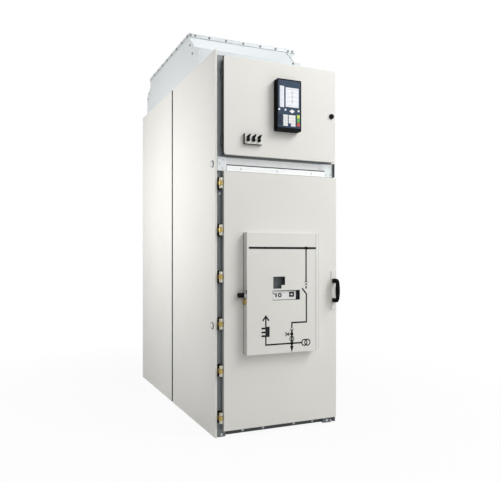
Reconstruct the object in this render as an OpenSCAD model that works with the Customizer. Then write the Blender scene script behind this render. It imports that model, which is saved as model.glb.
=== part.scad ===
// Air-insulated medium-voltage switchgear panel: a folded-sheet enclosure with a main door,
// a low-voltage compartment over it and a pressure relief duct on the roof.
// Lengths are in millimetres. X runs along the front, Y into the panel and Z up.
// The modules are drawn with the face of the main door at Y = 0 and the frame centred on X = 0.

/* [Enclosure] */
// Width of the frame between its side walls
panel_w = 800; // [780:10:1000]
// Depth of the side walls, from nose to rear face
wall_depth = 1578; // [1450:1:1800]
// Thickness of the folded side and rear walls
wall_t = 14; // [12:1:18]
// Distance of the left wall's nose behind the door face
nose_back = 17; // [12:1:25]
// Centre of the joint between the front and rear wall sheets, behind the door face
joint_y = 791; // [700:1:880]
// Width of that joint
joint_w = 24; // [12:1:40]
// Height of the left end wall above the roof
wall_rise = 26; // [10:1:40]
// Gap under the walls
wall_foot = 3; // [2:1:8]
// Height of the joint between the two rear wall sheets
rear_joint_z = 1130; // [900:10:1400]
// Thickness of wall and door sheets
sheet_t = 2; // [1.5:0.5:3]
// Thickness of posts, rails and inner plates
frame_t = 3; // [2:0.5:4]

/* [Frame] */
// Width of a corner post
post_w = 60; // [50:1:70]
// Depth of a corner post
post_d = 70; // [60:1:90]
// Inward lip of a corner post
post_lip = 45; // [35:1:50]
// Distance of the posts behind the door face
post_front = 35; // [34:1:40]
// Height of the base rails
base_h = 60; // [45:1:80]
// Distance of the base rail behind the door face
base_front = 60; // [50:1:65]
// Width of a base rail's flanges
base_flange = 60; // [45:1:60]
// Thickness of a post's foot plate
foot_t = 6; // [5:1:10]
// Diameter of the floor anchor holes
anchor_d = 14; // [11:1:18]

/* [Doors] */
// Strip of post that shows between the left wall and the doors
strip_w = 34; // [30:1:40]
// Height of the main door's lower edge above the floor
door_bottom = 42; // [30:1:55]
// Height of the main door
main_door_h = 1511; // [1400:1:1600]
// Distance between the two doors
between_doors = 98; // [90:1:120]
// Height of the low-voltage door
lv_door_h = 575; // [500:1:700]
// Thickness of the main door
main_door_t = 28; // [24:1:28]
// Thickness of the low-voltage door
lv_door_t = 15; // [12:1:20]
// Width of the lip folded in behind a door
door_lip = 20; // [16:1:30]
// How far the low-voltage door stops short of the main door's free edge
lv_door_short = 8; // [0:1:20]
// Depth of the low-voltage compartment behind the door face
lv_depth = 302; // [290:1:400]

/* [Hinges] */
// Number of hinges on the main door
hinge_count = 6; // [4:1:7]
// Distance of the lowest hinge from the main door's lower edge
hinge_low = 78; // [60:1:110]
// Distance of the highest hinge from the main door's upper edge
hinge_high = 69; // [60:1:110]
// Distance of the hinge line from the doors' left edge
hinge_out = 17; // [17:0.5:18]
// Depth of the hinge line behind the door face
hinge_in = 6; // [5:1:7]
// Radius of a hinge knuckle
knuckle_r = 12; // [9:0.5:12]
// Height of the middle knuckle
knuckle_h = 24; // [16:1:30]
// Height of a door knuckle
leaf_h = 18; // [12:1:24]
// Radius of a hinge pin
pin_r = 4; // [3:0.5:5]
// Radial play of a pin in a door knuckle
pin_play = 0.05; // [0.02:0.01:0.1]
// Gap between two knuckles
knuckle_gap = 1; // [0.5:0.1:2]

/* [Control board] */
// Distance of the board's left side from the main door's left edge
board_x = 127; // [80:1:160]
// Height of the board's lower edge above the floor
board_z = 481; // [400:1:600]
// Width of the board
board_w = 477; // [440:1:520]
// Height of the board
board_h = 718; // [650:1:800]
// How far the board stands out of the door
board_d = 43; // [40:1:60]

/* [Handle] */
// Length of the handle plate
handle_plate_h = 244; // [200:1:280]
// Width of the handle plate
handle_plate_w = 37; // [34:1:46]
// Height of the handle's middle above the floor
handle_z = 844; // [700:1:1000]
// Distance between the handle's feet
handle_span = 126; // [110:1:160]
// How far the handle stands out of the door
handle_reach = 56; // [48:1:70]
// Radius of the handle's feet
handle_r = 11; // [8:0.5:12]
// Radius of the grip at its middle
grip_r = 14; // [12.5:0.5:15]

/* [Relay and switches] */
// Distance of the relay's left side from the doors' left edge
relay_x = 330; // [280:1:400]
// Width of the relay's front
relay_w = 166; // [150:1:190]
// Height of the relay's front
relay_h = 308; // [280:1:330]
// How far the relay's front stands out of the door
relay_d = 40; // [30:1:50]
// Depth of the relay's case behind the door face
relay_case_d = 120; // [80:1:160]
// Height of the relay's lower edge above the low-voltage door's lower edge
relay_up = 161; // [140:1:180]
// Distance of the switch block's left side from the doors' left edge
switch_x = 126; // [80:1:160]
// Width of the switch block
switch_w = 118; // [100:1:140]
// Height of the switch block
switch_h = 61; // [50:1:70]
// Height of the switch block above the low-voltage door's lower edge
switch_up = 68; // [40:1:90]
// How far the switch block stands out of the door
switch_d = 18; // [8:1:20]

/* [Relief duct] */
// Height of the duct above the roof plate
duct_h = 308; // [280:1:360]
// Height of the duct's upright front wall
duct_front_h = 140; // [120:1:180]
// Depth of the low slope at the foot of the front hood
hood_toe_d = 81; // [60:1:100]
// Rise of that low slope
hood_toe_h = 38; // [20:1:50]
// Depth of the steep slope of the front hood
hood_d = 98; // [80:1:120]
// Depth of the slope at the rear of the duct
tail_d = 92; // [60:1:120]
// Height of the rear wall's upright part
tail_h = 182; // [160:1:220]
// Rise of the rear slope
tail_rise = 57; // [40:1:70]
// Distance of the duct's rear wall from the rear of the panel
duct_rear_gap = 97; // [20:1:120]
// Distance of the duct's right cheek from the frame's side
duct_inset_r = 55; // [20:1:80]
// Height of the lid's folded rim
lid_rim = 26; // [16:1:30]

/* [Hidden] */
$fn = 48;
PAINT = "#e2e1dc";
ZINC = "#c9ced2";
YELLOW_ZINC = "#b8963c";
DARK = "#4a4f55";
BLACK = "#151517";

// Places across the front
half_w = panel_w / 2;
outer_x = half_w + wall_t;
door_l = -half_w + strip_w;
main_door_w = outer_x - door_l;
lv_door_w = main_door_w - lv_door_short;
inner_x = half_w - post_w;

// Places in depth
rear_y = nose_back + wall_depth;
back_y = rear_y - wall_t;
joint_front = joint_y - joint_w / 2;
joint_rear = joint_y + joint_w / 2;
post_back = post_front + post_d;
rear_post_front = back_y - post_d;

// Heights
main_top = door_bottom + main_door_h;
roof_lead = 10;
lv_bottom = main_top + between_doors;
lv_top = lv_bottom + lv_door_h;
roof_z = lv_top + roof_lead;
roof_top = roof_z + frame_t;
wall_top = roof_z + wall_rise;
lv_floor_z = lv_bottom + 1;

// Small parts
roof_lip = 30;
door_clear = 6;
cap_r = 20;
cap_d = 9;
cap_foot = 2;
rear_joint_w = 6;
nose_gap = 1.5;
nose_seat = 20;

// Sheet metal: a folded line and the same line moved to its left by the thickness
function unit(v) = v / norm(v);
function left_of(a, b) = let (d = unit(b - a)) [-d.y, d.x];
function fold_point(p, i, t) =
    let (last = len(p) - 1,
         before = left_of(p[max(i - 1, 0)], p[max(i, 1)]),
         after = left_of(p[min(i, last - 1)], p[min(i + 1, last)]))
    p[i] + t * (before + after) / (1 + before * after);
function folded(p, t) = concat(p, [for (i = [len(p) - 1 : -1 : 0]) fold_point(p, i, t)]);

module upright(z0, z1) translate([0, 0, z0]) linear_extrude(z1 - z0) children();
module along_x(x0, x1) translate([x0, 0, 0]) rotate([90, 0, 90]) linear_extrude(x1 - x0) children();
module along_y(y0, y1) translate([0, y1, 0]) rotate([90, 0, 0]) linear_extrude(y1 - y0) children();
module block(low, high) translate(low) cube(high - low);
module both_sides() {
    children();
    mirror([1, 0, 0]) children();
}
module rear_of_frame() translate([0, post_front + back_y, 0]) mirror([0, 1, 0]) children();

// A rectangle with round corners, standing on its lower left corner
module round_rect(w, h, r) {
    translate([r, 0]) square([w - 2 * r, h]);
    translate([0, r]) square([w, h - 2 * r]);
    for (x = [r, w - r], y = [r, h - r]) translate([x, y]) circle(r);
}

// A wall sheet folded along the line p, closed at its top and bottom
module wall_sheet(p, z0, z1) {
    upright(z0, z1) polygon(folded(p, sheet_t));
    for (z = [z0, z1 - sheet_t]) upright(z, z + sheet_t) polygon(p);
}

// A flat wall tray on the left side of the frame
module side_tray(y0, y1, top)
    wall_sheet([[-half_w, y1], [-outer_x, y1], [-outer_x, y0], [-half_w, y0]], wall_foot, top);

// A door: a sheet folded back on its four sides, with a lip behind
module door_pan(w, h, d) difference() {
    cube([w, d, h]);
    translate([sheet_t, sheet_t, sheet_t]) cube([w, d, h] - 2 * sheet_t * [1, 1, 1]);
    translate([door_lip, sheet_t, door_lip]) cube([w - 2 * door_lip, d, h - 2 * door_lip]);
}

// Base and frame
module base_rail_line() polygon(folded([[base_front + base_flange, base_h], [base_front, base_h],
    [base_front, 0], [base_front + base_flange, 0]], frame_t));
module base_cross_rails() color(DARK) {
    along_x(-inner_x, inner_x) base_rail_line();
    rear_of_frame() along_x(-inner_x, inner_x) base_rail_line();
}
module base_side_rails() color(DARK) both_sides() along_y(post_back, rear_post_front)
    polygon(folded([[base_flange - half_w, base_h], [-half_w, base_h], [-half_w, 0],
        [base_flange - half_w, 0]], frame_t));
module floor_plate() color(ZINC)
    block([-inner_x, base_front, base_h], [inner_x, back_y + post_front - base_front, base_h + frame_t]);

module corner_post() {
    upright(0, roof_z) polygon(folded([[-half_w + post_lip * 0.6, post_back], [-half_w, post_back],
        [-half_w, post_front], [-inner_x, post_front], [-inner_x, post_front + post_lip]], frame_t));
    difference() {
        block([-half_w + frame_t, post_front + frame_t, 0],
            [-inner_x - frame_t, post_back - frame_t, foot_t]);
        translate([-half_w + post_w / 2, post_front + post_d / 2, 0])
            cylinder(d = anchor_d, h = 3 * foot_t, center = true);
    }
}
module front_posts() color(DARK) both_sides() corner_post();
module rear_posts() color(DARK) rear_of_frame() both_sides() corner_post();

module middle_post() {
    cover = joint_w + 2 * post_w / 2;
    upright(base_h, roof_z) polygon(folded([[-half_w + post_w / 2, joint_y + cover / 2],
        [-half_w, joint_y + cover / 2], [-half_w, joint_y - cover / 2],
        [-half_w + post_w / 2, joint_y - cover / 2]], frame_t));
}
module middle_posts() color(DARK) both_sides() middle_post();

// Walls
module left_end_wall_front() color(PAINT) wall_sheet([[-half_w, joint_front], [-outer_x, joint_front],
    [-outer_x, nose_back], [-half_w - nose_gap, nose_back], [-half_w, post_front],
    [-half_w, post_front + nose_seat]], wall_foot, wall_top);
module left_end_wall_rear() color(PAINT) side_tray(joint_rear, rear_y, wall_top);
module right_side_walls() color(PAINT) mirror([1, 0, 0]) {
    side_tray(main_door_t + door_clear, joint_front, roof_top);
    side_tray(joint_rear, rear_y, roof_top);
}
module rear_tray(z0, z1) wall_sheet([[half_w, back_y], [half_w, rear_y], [-half_w, rear_y],
    [-half_w, back_y]], z0, z1);
module rear_walls() color(PAINT) {
    rear_tray(wall_foot, rear_joint_z - rear_joint_w / 2);
    rear_tray(rear_joint_z + rear_joint_w / 2, roof_top);
}

// A round cap over each of the left wall's front fixings
cap_y = 58;
cap_heights = [652, 1600];
cap_dome_h = cap_d - cap_foot;
cap_dome_r = (cap_r * cap_r + cap_dome_h * cap_dome_h) / (2 * cap_dome_h);
module end_wall_caps() color(PAINT) for (z = cap_heights)
    translate([-outer_x, cap_y, z]) rotate([0, -90, 0]) rotate_extrude() {
        square([cap_r, cap_foot]);
        intersection() {
            translate([0, cap_d - cap_dome_r]) circle(cap_dome_r, $fn = 96);
            square([cap_r, cap_d]);
        }
    }

// Low-voltage compartment and roof
module roof_plate() color(ZINC) block([-half_w, lv_depth, roof_z], [half_w, back_y, roof_top]);
module lv_roof() color(ZINC) {
    block([-half_w, post_front, roof_z], [half_w, lv_depth, roof_top]);
    block([-inner_x, post_front, roof_z - roof_lip], [inner_x, post_front + frame_t, roof_z]);
}
module lv_floor() color(ZINC) upright(lv_floor_z, lv_floor_z + frame_t) polygon([
    [-inner_x, post_front + frame_t], [inner_x, post_front + frame_t], [inner_x, post_back],
    [half_w, post_back],
    [half_w, lv_depth], [-half_w, lv_depth], [-half_w, post_back], [-inner_x, post_back]]);
module lv_rear_wall() color(ZINC)
    block([-half_w, lv_depth - frame_t, lv_floor_z + frame_t], [half_w, lv_depth, roof_z]);
module lv_side_sheets() color(ZINC) both_sides() block([-half_w, post_back, lv_floor_z + frame_t],
    [-half_w + frame_t, lv_depth - frame_t, roof_z]);

// The rail between the two doors
rail_bottom = main_top - 8;
sill_top = lv_bottom + 22;
cover_face = 18;
cover_low = main_top + door_clear - 1;
cover_h = 33;
cover_high = cover_low + cover_h;
rail_slit = 6;
strip_face = 24;
strip_inset = 5;
// Low edge, high edge and height of the flange of the two angles that make the rail
rail_angles = [[rail_bottom, cover_high, rail_bottom],
    [cover_high + rail_slit, sill_top, lv_floor_z - frame_t]];
module cross_rail() color(ZINC) for (angle = rail_angles) {
    block([-inner_x, post_front, angle[0]], [inner_x, post_front + frame_t, angle[1]]);
    block([-inner_x, post_front, angle[2]], [inner_x, post_front + post_lip, angle[2] + frame_t]);
}
module rail_strip(x0, x1, face, low, high) along_x(x0, x1)
    polygon(folded([[post_front, high], [face, high], [face, low], [post_front, low]], sheet_t));
module cross_rail_cover() color(ZINC) rail_strip(-inner_x, inner_x, cover_face, cover_low, cover_high);
module cross_rail_brackets() color(ZINC) both_sides()
    rail_strip(-half_w + sheet_t, -inner_x, cover_face + sheet_t, cover_low, lv_bottom - 2 * door_clear);

// The dark strip at the rail's right end, in front of the side wall
module rail_end_strip() color(DARK) block([half_w + strip_inset, strip_face, main_top + door_clear],
    [outer_x - sheet_t, main_door_t + door_clear, lv_bottom - door_clear]);

// Relief duct
duct_l = -half_w;
duct_r = half_w - duct_inset_r;
lid_top = roof_top + duct_h;
lid_under = lid_top - frame_t;
hood_y = lv_depth + hood_toe_d;
lid_front = hood_y + hood_d;
tail_y = back_y + wall_t - duct_rear_gap;
lid_rear = tail_y - tail_d;
toe_z = roof_top + duct_front_h;
front_line = [[lid_front, lid_under], [lid_front, lid_top - lid_rim], [hood_y, toe_z + hood_toe_h],
    [lv_depth, toe_z], [lv_depth, roof_top]];
rear_line = [[tail_y, roof_top], [tail_y, roof_top + tail_h], [lid_rear, roof_top + tail_h + tail_rise],
    [lid_rear, lid_under]];
module duct_cheek(x) along_x(x, x + frame_t) polygon(concat(front_line, rear_line));
module duct_cheeks() color(ZINC) {
    duct_cheek(duct_l);
    duct_cheek(duct_r - frame_t);
}
module duct_front() color(ZINC)
    along_x(duct_l + frame_t, duct_r - frame_t) polygon(folded(front_line, sheet_t));
module duct_rear() color(ZINC)
    along_x(duct_l + frame_t, duct_r - frame_t) polygon(folded(rear_line, sheet_t));
module duct_lid() color(ZINC) difference() {
    block([duct_l - frame_t, lid_front - frame_t, lid_top - lid_rim],
        [outer_x, lid_rear + frame_t, lid_top]);
    block([duct_l, lid_front, lid_top - lid_rim - 1], [outer_x - frame_t, lid_rear, lid_under]);
}

// Hinges of the main door
hinge_x = door_l - hinge_out;
hinge_pitch = (main_door_h - hinge_low - hinge_high) / (hinge_count - 1);
bed_t = 3;
bed_w = 26;
bed_h = 74;
tab_w = 24;
tab_t = 8;
leaf_step = 2.5;
leaf_r = knuckle_r - leaf_step;
module at_hinges() for (i = [0 : hinge_count - 1])
    translate([hinge_x, hinge_in, door_bottom + hinge_low + i * hinge_pitch]) children();
module hinge_beds() color(BLACK) at_hinges() translate([-bed_w / 2, post_front - hinge_in, -bed_h / 2])
    rotate([90, 0, 0]) linear_extrude(bed_t) round_rect(bed_w, bed_h, bed_w / 2 - 1);
module hinge_frame_knuckles() color(YELLOW_ZINC) at_hinges() {
    bed_y = post_front - bed_t - hinge_in;
    cylinder(r = knuckle_r, h = knuckle_h, center = true);
    cylinder(r = pin_r, h = knuckle_h + 2 * (knuckle_gap + leaf_h), center = true);
    translate([-knuckle_r / 2, 0, -knuckle_h / 2]) cube([knuckle_r, bed_y, knuckle_h]);
    translate([-tab_w / 2, bed_y - tab_t, -knuckle_h / 2]) cube([tab_w, tab_t, knuckle_h]);
}
module hinge_door_knuckles() color(ZINC) at_hinges() for (side = [-1, 1])
    translate([0, 0, side * (knuckle_h / 2 + knuckle_gap + leaf_h / 2)]) difference() {
        union() {
            cylinder(r = leaf_r, h = leaf_h, center = true);
            translate([0, -hinge_in + 2, -leaf_h / 2]) cube([hinge_out, 2 * hinge_in - 2, leaf_h]);
        }
        cylinder(r = pin_r + pin_play, h = 2 * leaf_h, center = true);
    }

// Concealed hinges of the low-voltage door
lv_hinge_out = 2;
lv_hinge_r = 5;
lv_hinge_pin_r = 2.5;
lv_hinge_h = 20;
lv_hinge_end = 90;
lv_hinge_x = door_l - lv_hinge_out;
lv_hinge_y = lv_door_t + lv_hinge_r + knuckle_gap;
module at_lv_hinges() for (z = [lv_bottom + lv_hinge_end, lv_top - lv_hinge_end])
    translate([lv_hinge_x, lv_hinge_y, z]) children();
module lv_hinge_frame_knuckles() color(DARK) at_lv_hinges() {
    cylinder(r = lv_hinge_r, h = lv_hinge_h, center = true);
    cylinder(r = lv_hinge_pin_r, h = 3 * lv_hinge_h, center = true);
    translate([-lv_hinge_r, 0, -lv_hinge_h / 2])
        cube([2 * lv_hinge_r, post_front - lv_hinge_y, lv_hinge_h]);
}
module lv_hinge_door_knuckles() color(DARK) at_lv_hinges() for (side = [-1, 1])
    translate([0, 0, side * (lv_hinge_h + knuckle_gap)]) difference() {
        union() {
            cylinder(r = lv_hinge_r, h = lv_hinge_h, center = true);
            translate([0, lv_door_t - lv_hinge_y, -lv_hinge_h / 2])
                cube([seal_in + lv_hinge_out - 1, lv_hinge_y - lv_door_t + 3, lv_hinge_h]);
        }
        translate([-2 * lv_hinge_r, lv_door_t - lv_hinge_y - lv_hinge_r, -lv_hinge_h])
            cube([4 * lv_hinge_r, lv_hinge_r, 2 * lv_hinge_h]);
        cylinder(r = lv_hinge_pin_r + pin_play, h = 4 * lv_hinge_h, center = true);
    }

// Main door and control board
module main_door() color(PAINT) translate([door_l, 0, door_bottom])
    door_pan(main_door_w, main_door_h, main_door_t);

board_l = door_l + board_x;
window_x = 174;
window_z = 385;
window_w = 80;
window_h = 71;
window_notch = [24, 21];
slot_x = 169;
slot_z = 316;
slot_w = 188;
slot_h = 58;
module window_shape() difference() {
    square([window_w, window_h]);
    translate([window_w - window_notch.x, -1]) square(window_notch + [1, 1]);
}
module control_board() color(PAINT) translate([board_l, -board_d, board_z]) difference() {
    cube([board_w, board_d, board_h]);
    translate([sheet_t, sheet_t, sheet_t]) cube([board_w - 2 * sheet_t, board_d, board_h - 2 * sheet_t]);
    translate([window_x, 0, window_z]) along_y(-1, sheet_t + 1) window_shape();
    translate([slot_x, 0, slot_z]) along_y(-1, sheet_t + 1) square([slot_w, slot_h]);
}

// The dark tray behind the board's windows, and the white label in it
tray_margin = 14;
tray_depth = 26;
label_w = 152;
label_in = 8;
label_foot = 2;
label_head = 4;
module indicator_tray() color(DARK)
    translate([board_l + slot_x - tray_margin, 0, board_z + slot_z - tray_margin])
    difference() {
        w = slot_w + 2 * tray_margin;
        h = window_z + window_h - slot_z + 2 * tray_margin;
        block([0, sheet_t - board_d, 0], [w, 0, h]);
        block([sheet_t, -board_d, sheet_t], [w - sheet_t, sheet_t - board_d + tray_depth, h - sheet_t]);
    }
module indicator_label() color("white")
    block([board_l + slot_x, sheet_t - board_d + label_in, board_z + slot_z + label_foot],
        [board_l + slot_x + label_w, sheet_t - board_d + tray_depth, board_z + slot_z + slot_h - label_head]);

// Handle
handle_edge = 2;
handle_x = outer_x - handle_edge - handle_plate_w / 2;
handle_plate_t = 4;
module handle_plate() color(PAINT)
    translate([handle_x - handle_plate_w / 2, 0, handle_z - handle_plate_h / 2])
    along_y(-handle_plate_t, 0) round_rect(handle_plate_w, handle_plate_h, 3);
grip_y = -handle_reach + grip_r;
corner_r = 18;
module door_handle() color(BLACK) translate([handle_x, 0, handle_z]) {
    straight = handle_span / 2 - corner_r;
    barrel_r = (straight * straight + (grip_r - handle_r) * (grip_r - handle_r))
        / (2 * (grip_r - handle_r));
    for (side = [0, 1]) mirror([0, 0, side]) {
        translate([0, -handle_plate_t, handle_span / 2]) rotate([90, 0, 0])
            cylinder(r = handle_r, h = -grip_y - corner_r - handle_plate_t);
        translate([0, grip_y + corner_r, straight]) rotate([90, 0, 90]) rotate(90)
            rotate_extrude(angle = 90) translate([corner_r, 0]) circle(handle_r);
    }
    translate([0, grip_y, 0]) rotate_extrude() intersection() {
        translate([grip_r - barrel_r, 0]) circle(barrel_r, $fn = 200);
        translate([0, -straight]) square([grip_r, 2 * straight]);
    }
}

// Lock on the board's left side
lock_y = -21;
lock_z = 831;
knob_r = 14;
knob_l = 34;
neck_r = 8;
neck_l = 11;
cylinder_r = 15;
cylinder_l = 8;
cylinder_drop = 38;
module board_lock_knob() color(BLACK) translate([board_l, lock_y, lock_z]) rotate([0, -90, 0]) {
    cylinder(r = neck_r, h = neck_l);
    translate([0, 0, neck_l]) cylinder(r = knob_r, h = knob_l);
}
module board_lock_cylinder() color(YELLOW_ZINC) translate([board_l, lock_y, lock_z - cylinder_drop])
    rotate([0, -90, 0]) cylinder(r = cylinder_r, h = cylinder_l);

// Low-voltage door with its seal and lock
relay_l = door_l + relay_x;
relay_z = lv_bottom + relay_up;
case_margin = 9;
case_play = 0.5;
module relay_case(play) block([relay_l + case_margin - play, 0, relay_z + case_margin - play],
    [relay_l + relay_w - case_margin + play, relay_case_d, relay_z + relay_h - case_margin + play]);
corner_cut = 11;
module lv_door() color(PAINT) difference() {
    translate([door_l, 0, lv_bottom]) door_pan(lv_door_w, lv_door_h, lv_door_t);
    translate([0, -1, 0]) relay_case(case_play);
    // The folded corners on the hinge side are cut off
    for (z = [lv_bottom, lv_top]) translate([door_l, 0, z]) rotate([0, 45, 0])
        cube([corner_cut * sqrt(2), 3 * lv_door_t, corner_cut * sqrt(2)], center = true);
}
seal_in = 14;
seal_w = 10;
seal_play = 0.3;
module lv_door_seal() color(BLACK) along_y(lv_door_t, post_front - seal_play)
    translate([door_l, lv_bottom]) difference() {
        translate([seal_in, door_lip - seal_w])
            square([lv_door_w - 2 * seal_in, lv_door_h - 2 * (door_lip - seal_w)]);
        translate([seal_in + seal_w, door_lip])
            square([lv_door_w - 2 * (seal_in + seal_w), lv_door_h - 2 * door_lip]);
    }
lv_lock_r = 16;
lv_lock_d = 7;
lv_lock_in = 30;
key_recess_r = 7;
key_recess_d = 3;
module lv_lock() color(BLACK)
    translate([door_l + lv_door_w - lv_lock_in, 0, lv_bottom + lv_door_h / 2]) rotate([90, 0, 0])
    difference() {
        cylinder(r = lv_lock_r, h = lv_lock_d);
        translate([0, 0, lv_lock_d - key_recess_d]) cylinder(r = key_recess_r, h = lv_lock_d);
    }

// Protection relay: housing, face, displays and keys
rim = 6;
rim_low = 18;
face_t = 3;
face_y = -relay_d + 1;
module relay_housing() color(BLACK) {
    difference() {
        translate([relay_l, 0, relay_z]) along_y(-relay_d, 0) round_rect(relay_w, relay_h, rim);
        block([relay_l + rim, -relay_d - 1, relay_z + rim_low],
            [relay_l + relay_w - rim, face_y + face_t, relay_z + relay_h - rim]);
    }
    relay_case(0);
}
display_sink = 1.5;
display_t = 0.8;
// Left and right, low and high of the two displays, from the relay's lower left corner
displays = [[[17, 139], [48, 266]], [[58, 143], [149, 260]]];
module relay_face() color("#27344a") difference() {
    block([relay_l + rim, face_y, relay_z + rim_low],
        [relay_l + relay_w - rim, face_y + face_t, relay_z + relay_h - rim]);
    for (d = displays) translate([relay_l, face_y, relay_z])
        block([d[0].x, -1, d[0].y], [d[1].x, display_sink, d[1].y]);
}
module relay_displays() color("white") for (d = displays) translate([relay_l, face_y, relay_z])
    block([d[0].x, display_sink - display_t, d[0].y], [d[1].x, display_sink, d[1].y]);
key_t = 2;
module key_at(x, z) translate([relay_l + x, face_y, relay_z + z]) rotate([90, 0, 0])
    linear_extrude(key_t) children();
// Places on the face, from the relay's lower left corner
round_keys = [[13, 124], [56, 124], [147, 124]];
round_key_r = 6.5;
pad_at = [102, 118];
pad_half = [19, 12];
keys_z = 28;
key_pitch = [16, 17];
key_size = [14.5, 15.5];
number_keys_x = 78;
function_keys_x = 41;
switch_keys_x = 136;
switch_keys_z = 31;
switch_key_size = [19, 21];
switch_key_pitch = 24;
module relay_keys() color("white") {
    for (at = round_keys) key_at(at.x, at.y) circle(round_key_r);
    key_at(pad_at.x, pad_at.y)
        polygon([[-pad_half.x, 0], [0, -pad_half.y], [pad_half.x, 0], [0, pad_half.y]]);
    for (column = [0, 1], row = [0 : 3])
        key_at(function_keys_x + key_pitch.x * column, keys_z + key_pitch.y * row) square(key_size);
    for (column = [0 : 2], row = [0 : 3])
        key_at(number_keys_x + key_pitch.x * column, keys_z + key_pitch.y * row) square(key_size);
    for (row = [0 : 2])
        key_at(switch_keys_x, switch_keys_z + switch_key_pitch * row) square(switch_key_size);
}

// Switch block with its three levers
switch_l = door_l + switch_x;
switch_z = lv_bottom + switch_up;
switch_at = [20, 56, 92];
switch_pivot_z = 22;
lever_d = 11;
lever_ball_r = 9.5;
lever_neck_w = 12.5;
lever_head = [0, 18];
lever_head_r = 8.3;
lever_tip = [11, 31];
lever_tip_r = 3.8;
// A lever seen from the front: ball, neck and head, with an arm that tapers to its tip
module lever_shape() {
    side = left_of(lever_head, lever_tip);
    circle(lever_ball_r);
    translate([-lever_neck_w / 2, 0]) square([lever_neck_w, lever_head.y]);
    translate(lever_head) circle(lever_head_r);
    polygon([lever_head + lever_head_r * side, lever_tip + lever_tip_r * side,
        lever_tip - lever_tip_r * side, lever_head - lever_head_r * side]);
    translate(lever_tip) circle(lever_tip_r);
}
module switch_block() color(BLACK) translate([switch_l, 0, switch_z]) along_y(-switch_d, 0)
    round_rect(switch_w, switch_h, 2);
module switch_levers() color(BLACK) for (x = switch_at)
    translate([switch_l + x, 0, switch_z + switch_pivot_z])
        along_y(-switch_d - lever_d, -switch_d) lever_shape();

// The part's origin is the middle of its base
module place() translate([cap_d / 2, handle_reach - (handle_reach + rear_y) / 2, 0]) children();

place() base_cross_rails();
place() base_side_rails();
place() floor_plate();
place() front_posts();
place() middle_posts();
place() rear_posts();
place() left_end_wall_front();
place() left_end_wall_rear();
place() right_side_walls();
place() rear_walls();
place() roof_plate();
place() lv_roof();
place() lv_floor();
place() lv_rear_wall();
place() lv_side_sheets();
place() cross_rail();
place() cross_rail_cover();
place() cross_rail_brackets();
place() rail_end_strip();
place() duct_cheeks();
place() duct_front();
place() duct_rear();
place() duct_lid();
place() end_wall_caps();
place() hinge_beds();
place() hinge_frame_knuckles();
place() lv_hinge_frame_knuckles();
place() main_door();
place() hinge_door_knuckles();
place() control_board();
place() indicator_tray();
place() indicator_label();
place() handle_plate();
place() door_handle();
place() board_lock_knob();
place() board_lock_cylinder();
place() lv_door();
place() lv_hinge_door_knuckles();
place() lv_door_seal();
place() relay_housing();
place() relay_face();
place() relay_displays();
place() relay_keys();
place() switch_block();
place() switch_levers();
place() lv_lock();
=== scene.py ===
"""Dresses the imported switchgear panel: a finish on every solid, its screws and printed lines, and the studio.

Places are in millimetres from the lower left corner of the main door's face, with X to the right, Y into the
panel and Z up from the floor.
"""

import logging
import math
from abc import ABC, abstractmethod
from collections.abc import Iterable, Sequence
from dataclasses import dataclass, field
from enum import Enum
from typing import Any

import bmesh
import bpy
from mathutils import Matrix, Vector


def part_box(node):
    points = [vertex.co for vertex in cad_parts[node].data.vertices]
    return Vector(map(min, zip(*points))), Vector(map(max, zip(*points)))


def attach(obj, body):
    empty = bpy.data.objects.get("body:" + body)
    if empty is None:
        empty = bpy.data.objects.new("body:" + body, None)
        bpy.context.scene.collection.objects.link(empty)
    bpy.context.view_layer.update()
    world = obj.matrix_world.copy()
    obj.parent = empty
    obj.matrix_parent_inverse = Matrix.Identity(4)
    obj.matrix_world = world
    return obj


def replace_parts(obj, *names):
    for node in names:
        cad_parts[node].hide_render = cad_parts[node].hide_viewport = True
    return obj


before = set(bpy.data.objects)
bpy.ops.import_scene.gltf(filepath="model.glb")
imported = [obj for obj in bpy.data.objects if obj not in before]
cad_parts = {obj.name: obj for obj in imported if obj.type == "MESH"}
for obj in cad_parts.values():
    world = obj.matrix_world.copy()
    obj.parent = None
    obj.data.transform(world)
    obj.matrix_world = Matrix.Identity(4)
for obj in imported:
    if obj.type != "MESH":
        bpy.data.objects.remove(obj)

LOG = logging.getLogger("panel")
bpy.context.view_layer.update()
MM = 0.001

Colour = tuple[float, float, float]
Point = tuple[float, float]
Place = tuple[float, float, float]
Rectangle = tuple[float, float, float, float]
Profile = tuple[Point, ...]
Corners = list[bmesh.types.BMVert]
Socket = bpy.types.NodeSocket


class Body(Enum):
    """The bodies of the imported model."""

    CABINET = "cabinet"
    MAIN_DOOR = "main_door"
    LV_DOOR = "lv_door"


class Slot(Enum):
    """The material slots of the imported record."""

    PAINT = "paint"
    GALVANISED = "galvanised"
    FRAME_GREY = "frame_grey"
    YELLOW_ZINC = "yellow_zinc"
    BLACK_PLASTIC = "black_plastic"
    SEAL_RUBBER = "seal_rubber"
    WHITE_PLASTIC = "white_plastic"
    RELAY_BLUE = "relay_blue"
    DISPLAY = "display"


class Facing(Enum):
    """The outward direction of a surface that carries a screw, a rim or a collar."""

    FRONT = (0.0, -1.0, 0.0)
    REAR = (0.0, 1.0, 0.0)
    LEFT = (-1.0, 0.0, 0.0)


class Head(Enum):
    """The head of a screw."""

    CROSS = "pan head with a cross recess"
    HEX = "hexagon on a washer"


def to_row() -> Matrix:
    """The matrix that turns millimetres from the main door's corner into metres of the row frame."""
    low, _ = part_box("main_door")
    return Matrix.Translation((low.x, low.y, 0.0)) @ Matrix.Scale(MM, 4)


def span(node: str) -> tuple[Vector, Vector]:
    """Measures a CAD node.

    Args:
        node: The node's name.

    Returns:
        Its lowest and highest corner, in millimetres from the main door's corner.
    """
    home = to_row().inverted()
    low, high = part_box(node)
    return home @ low, home @ high


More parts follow.
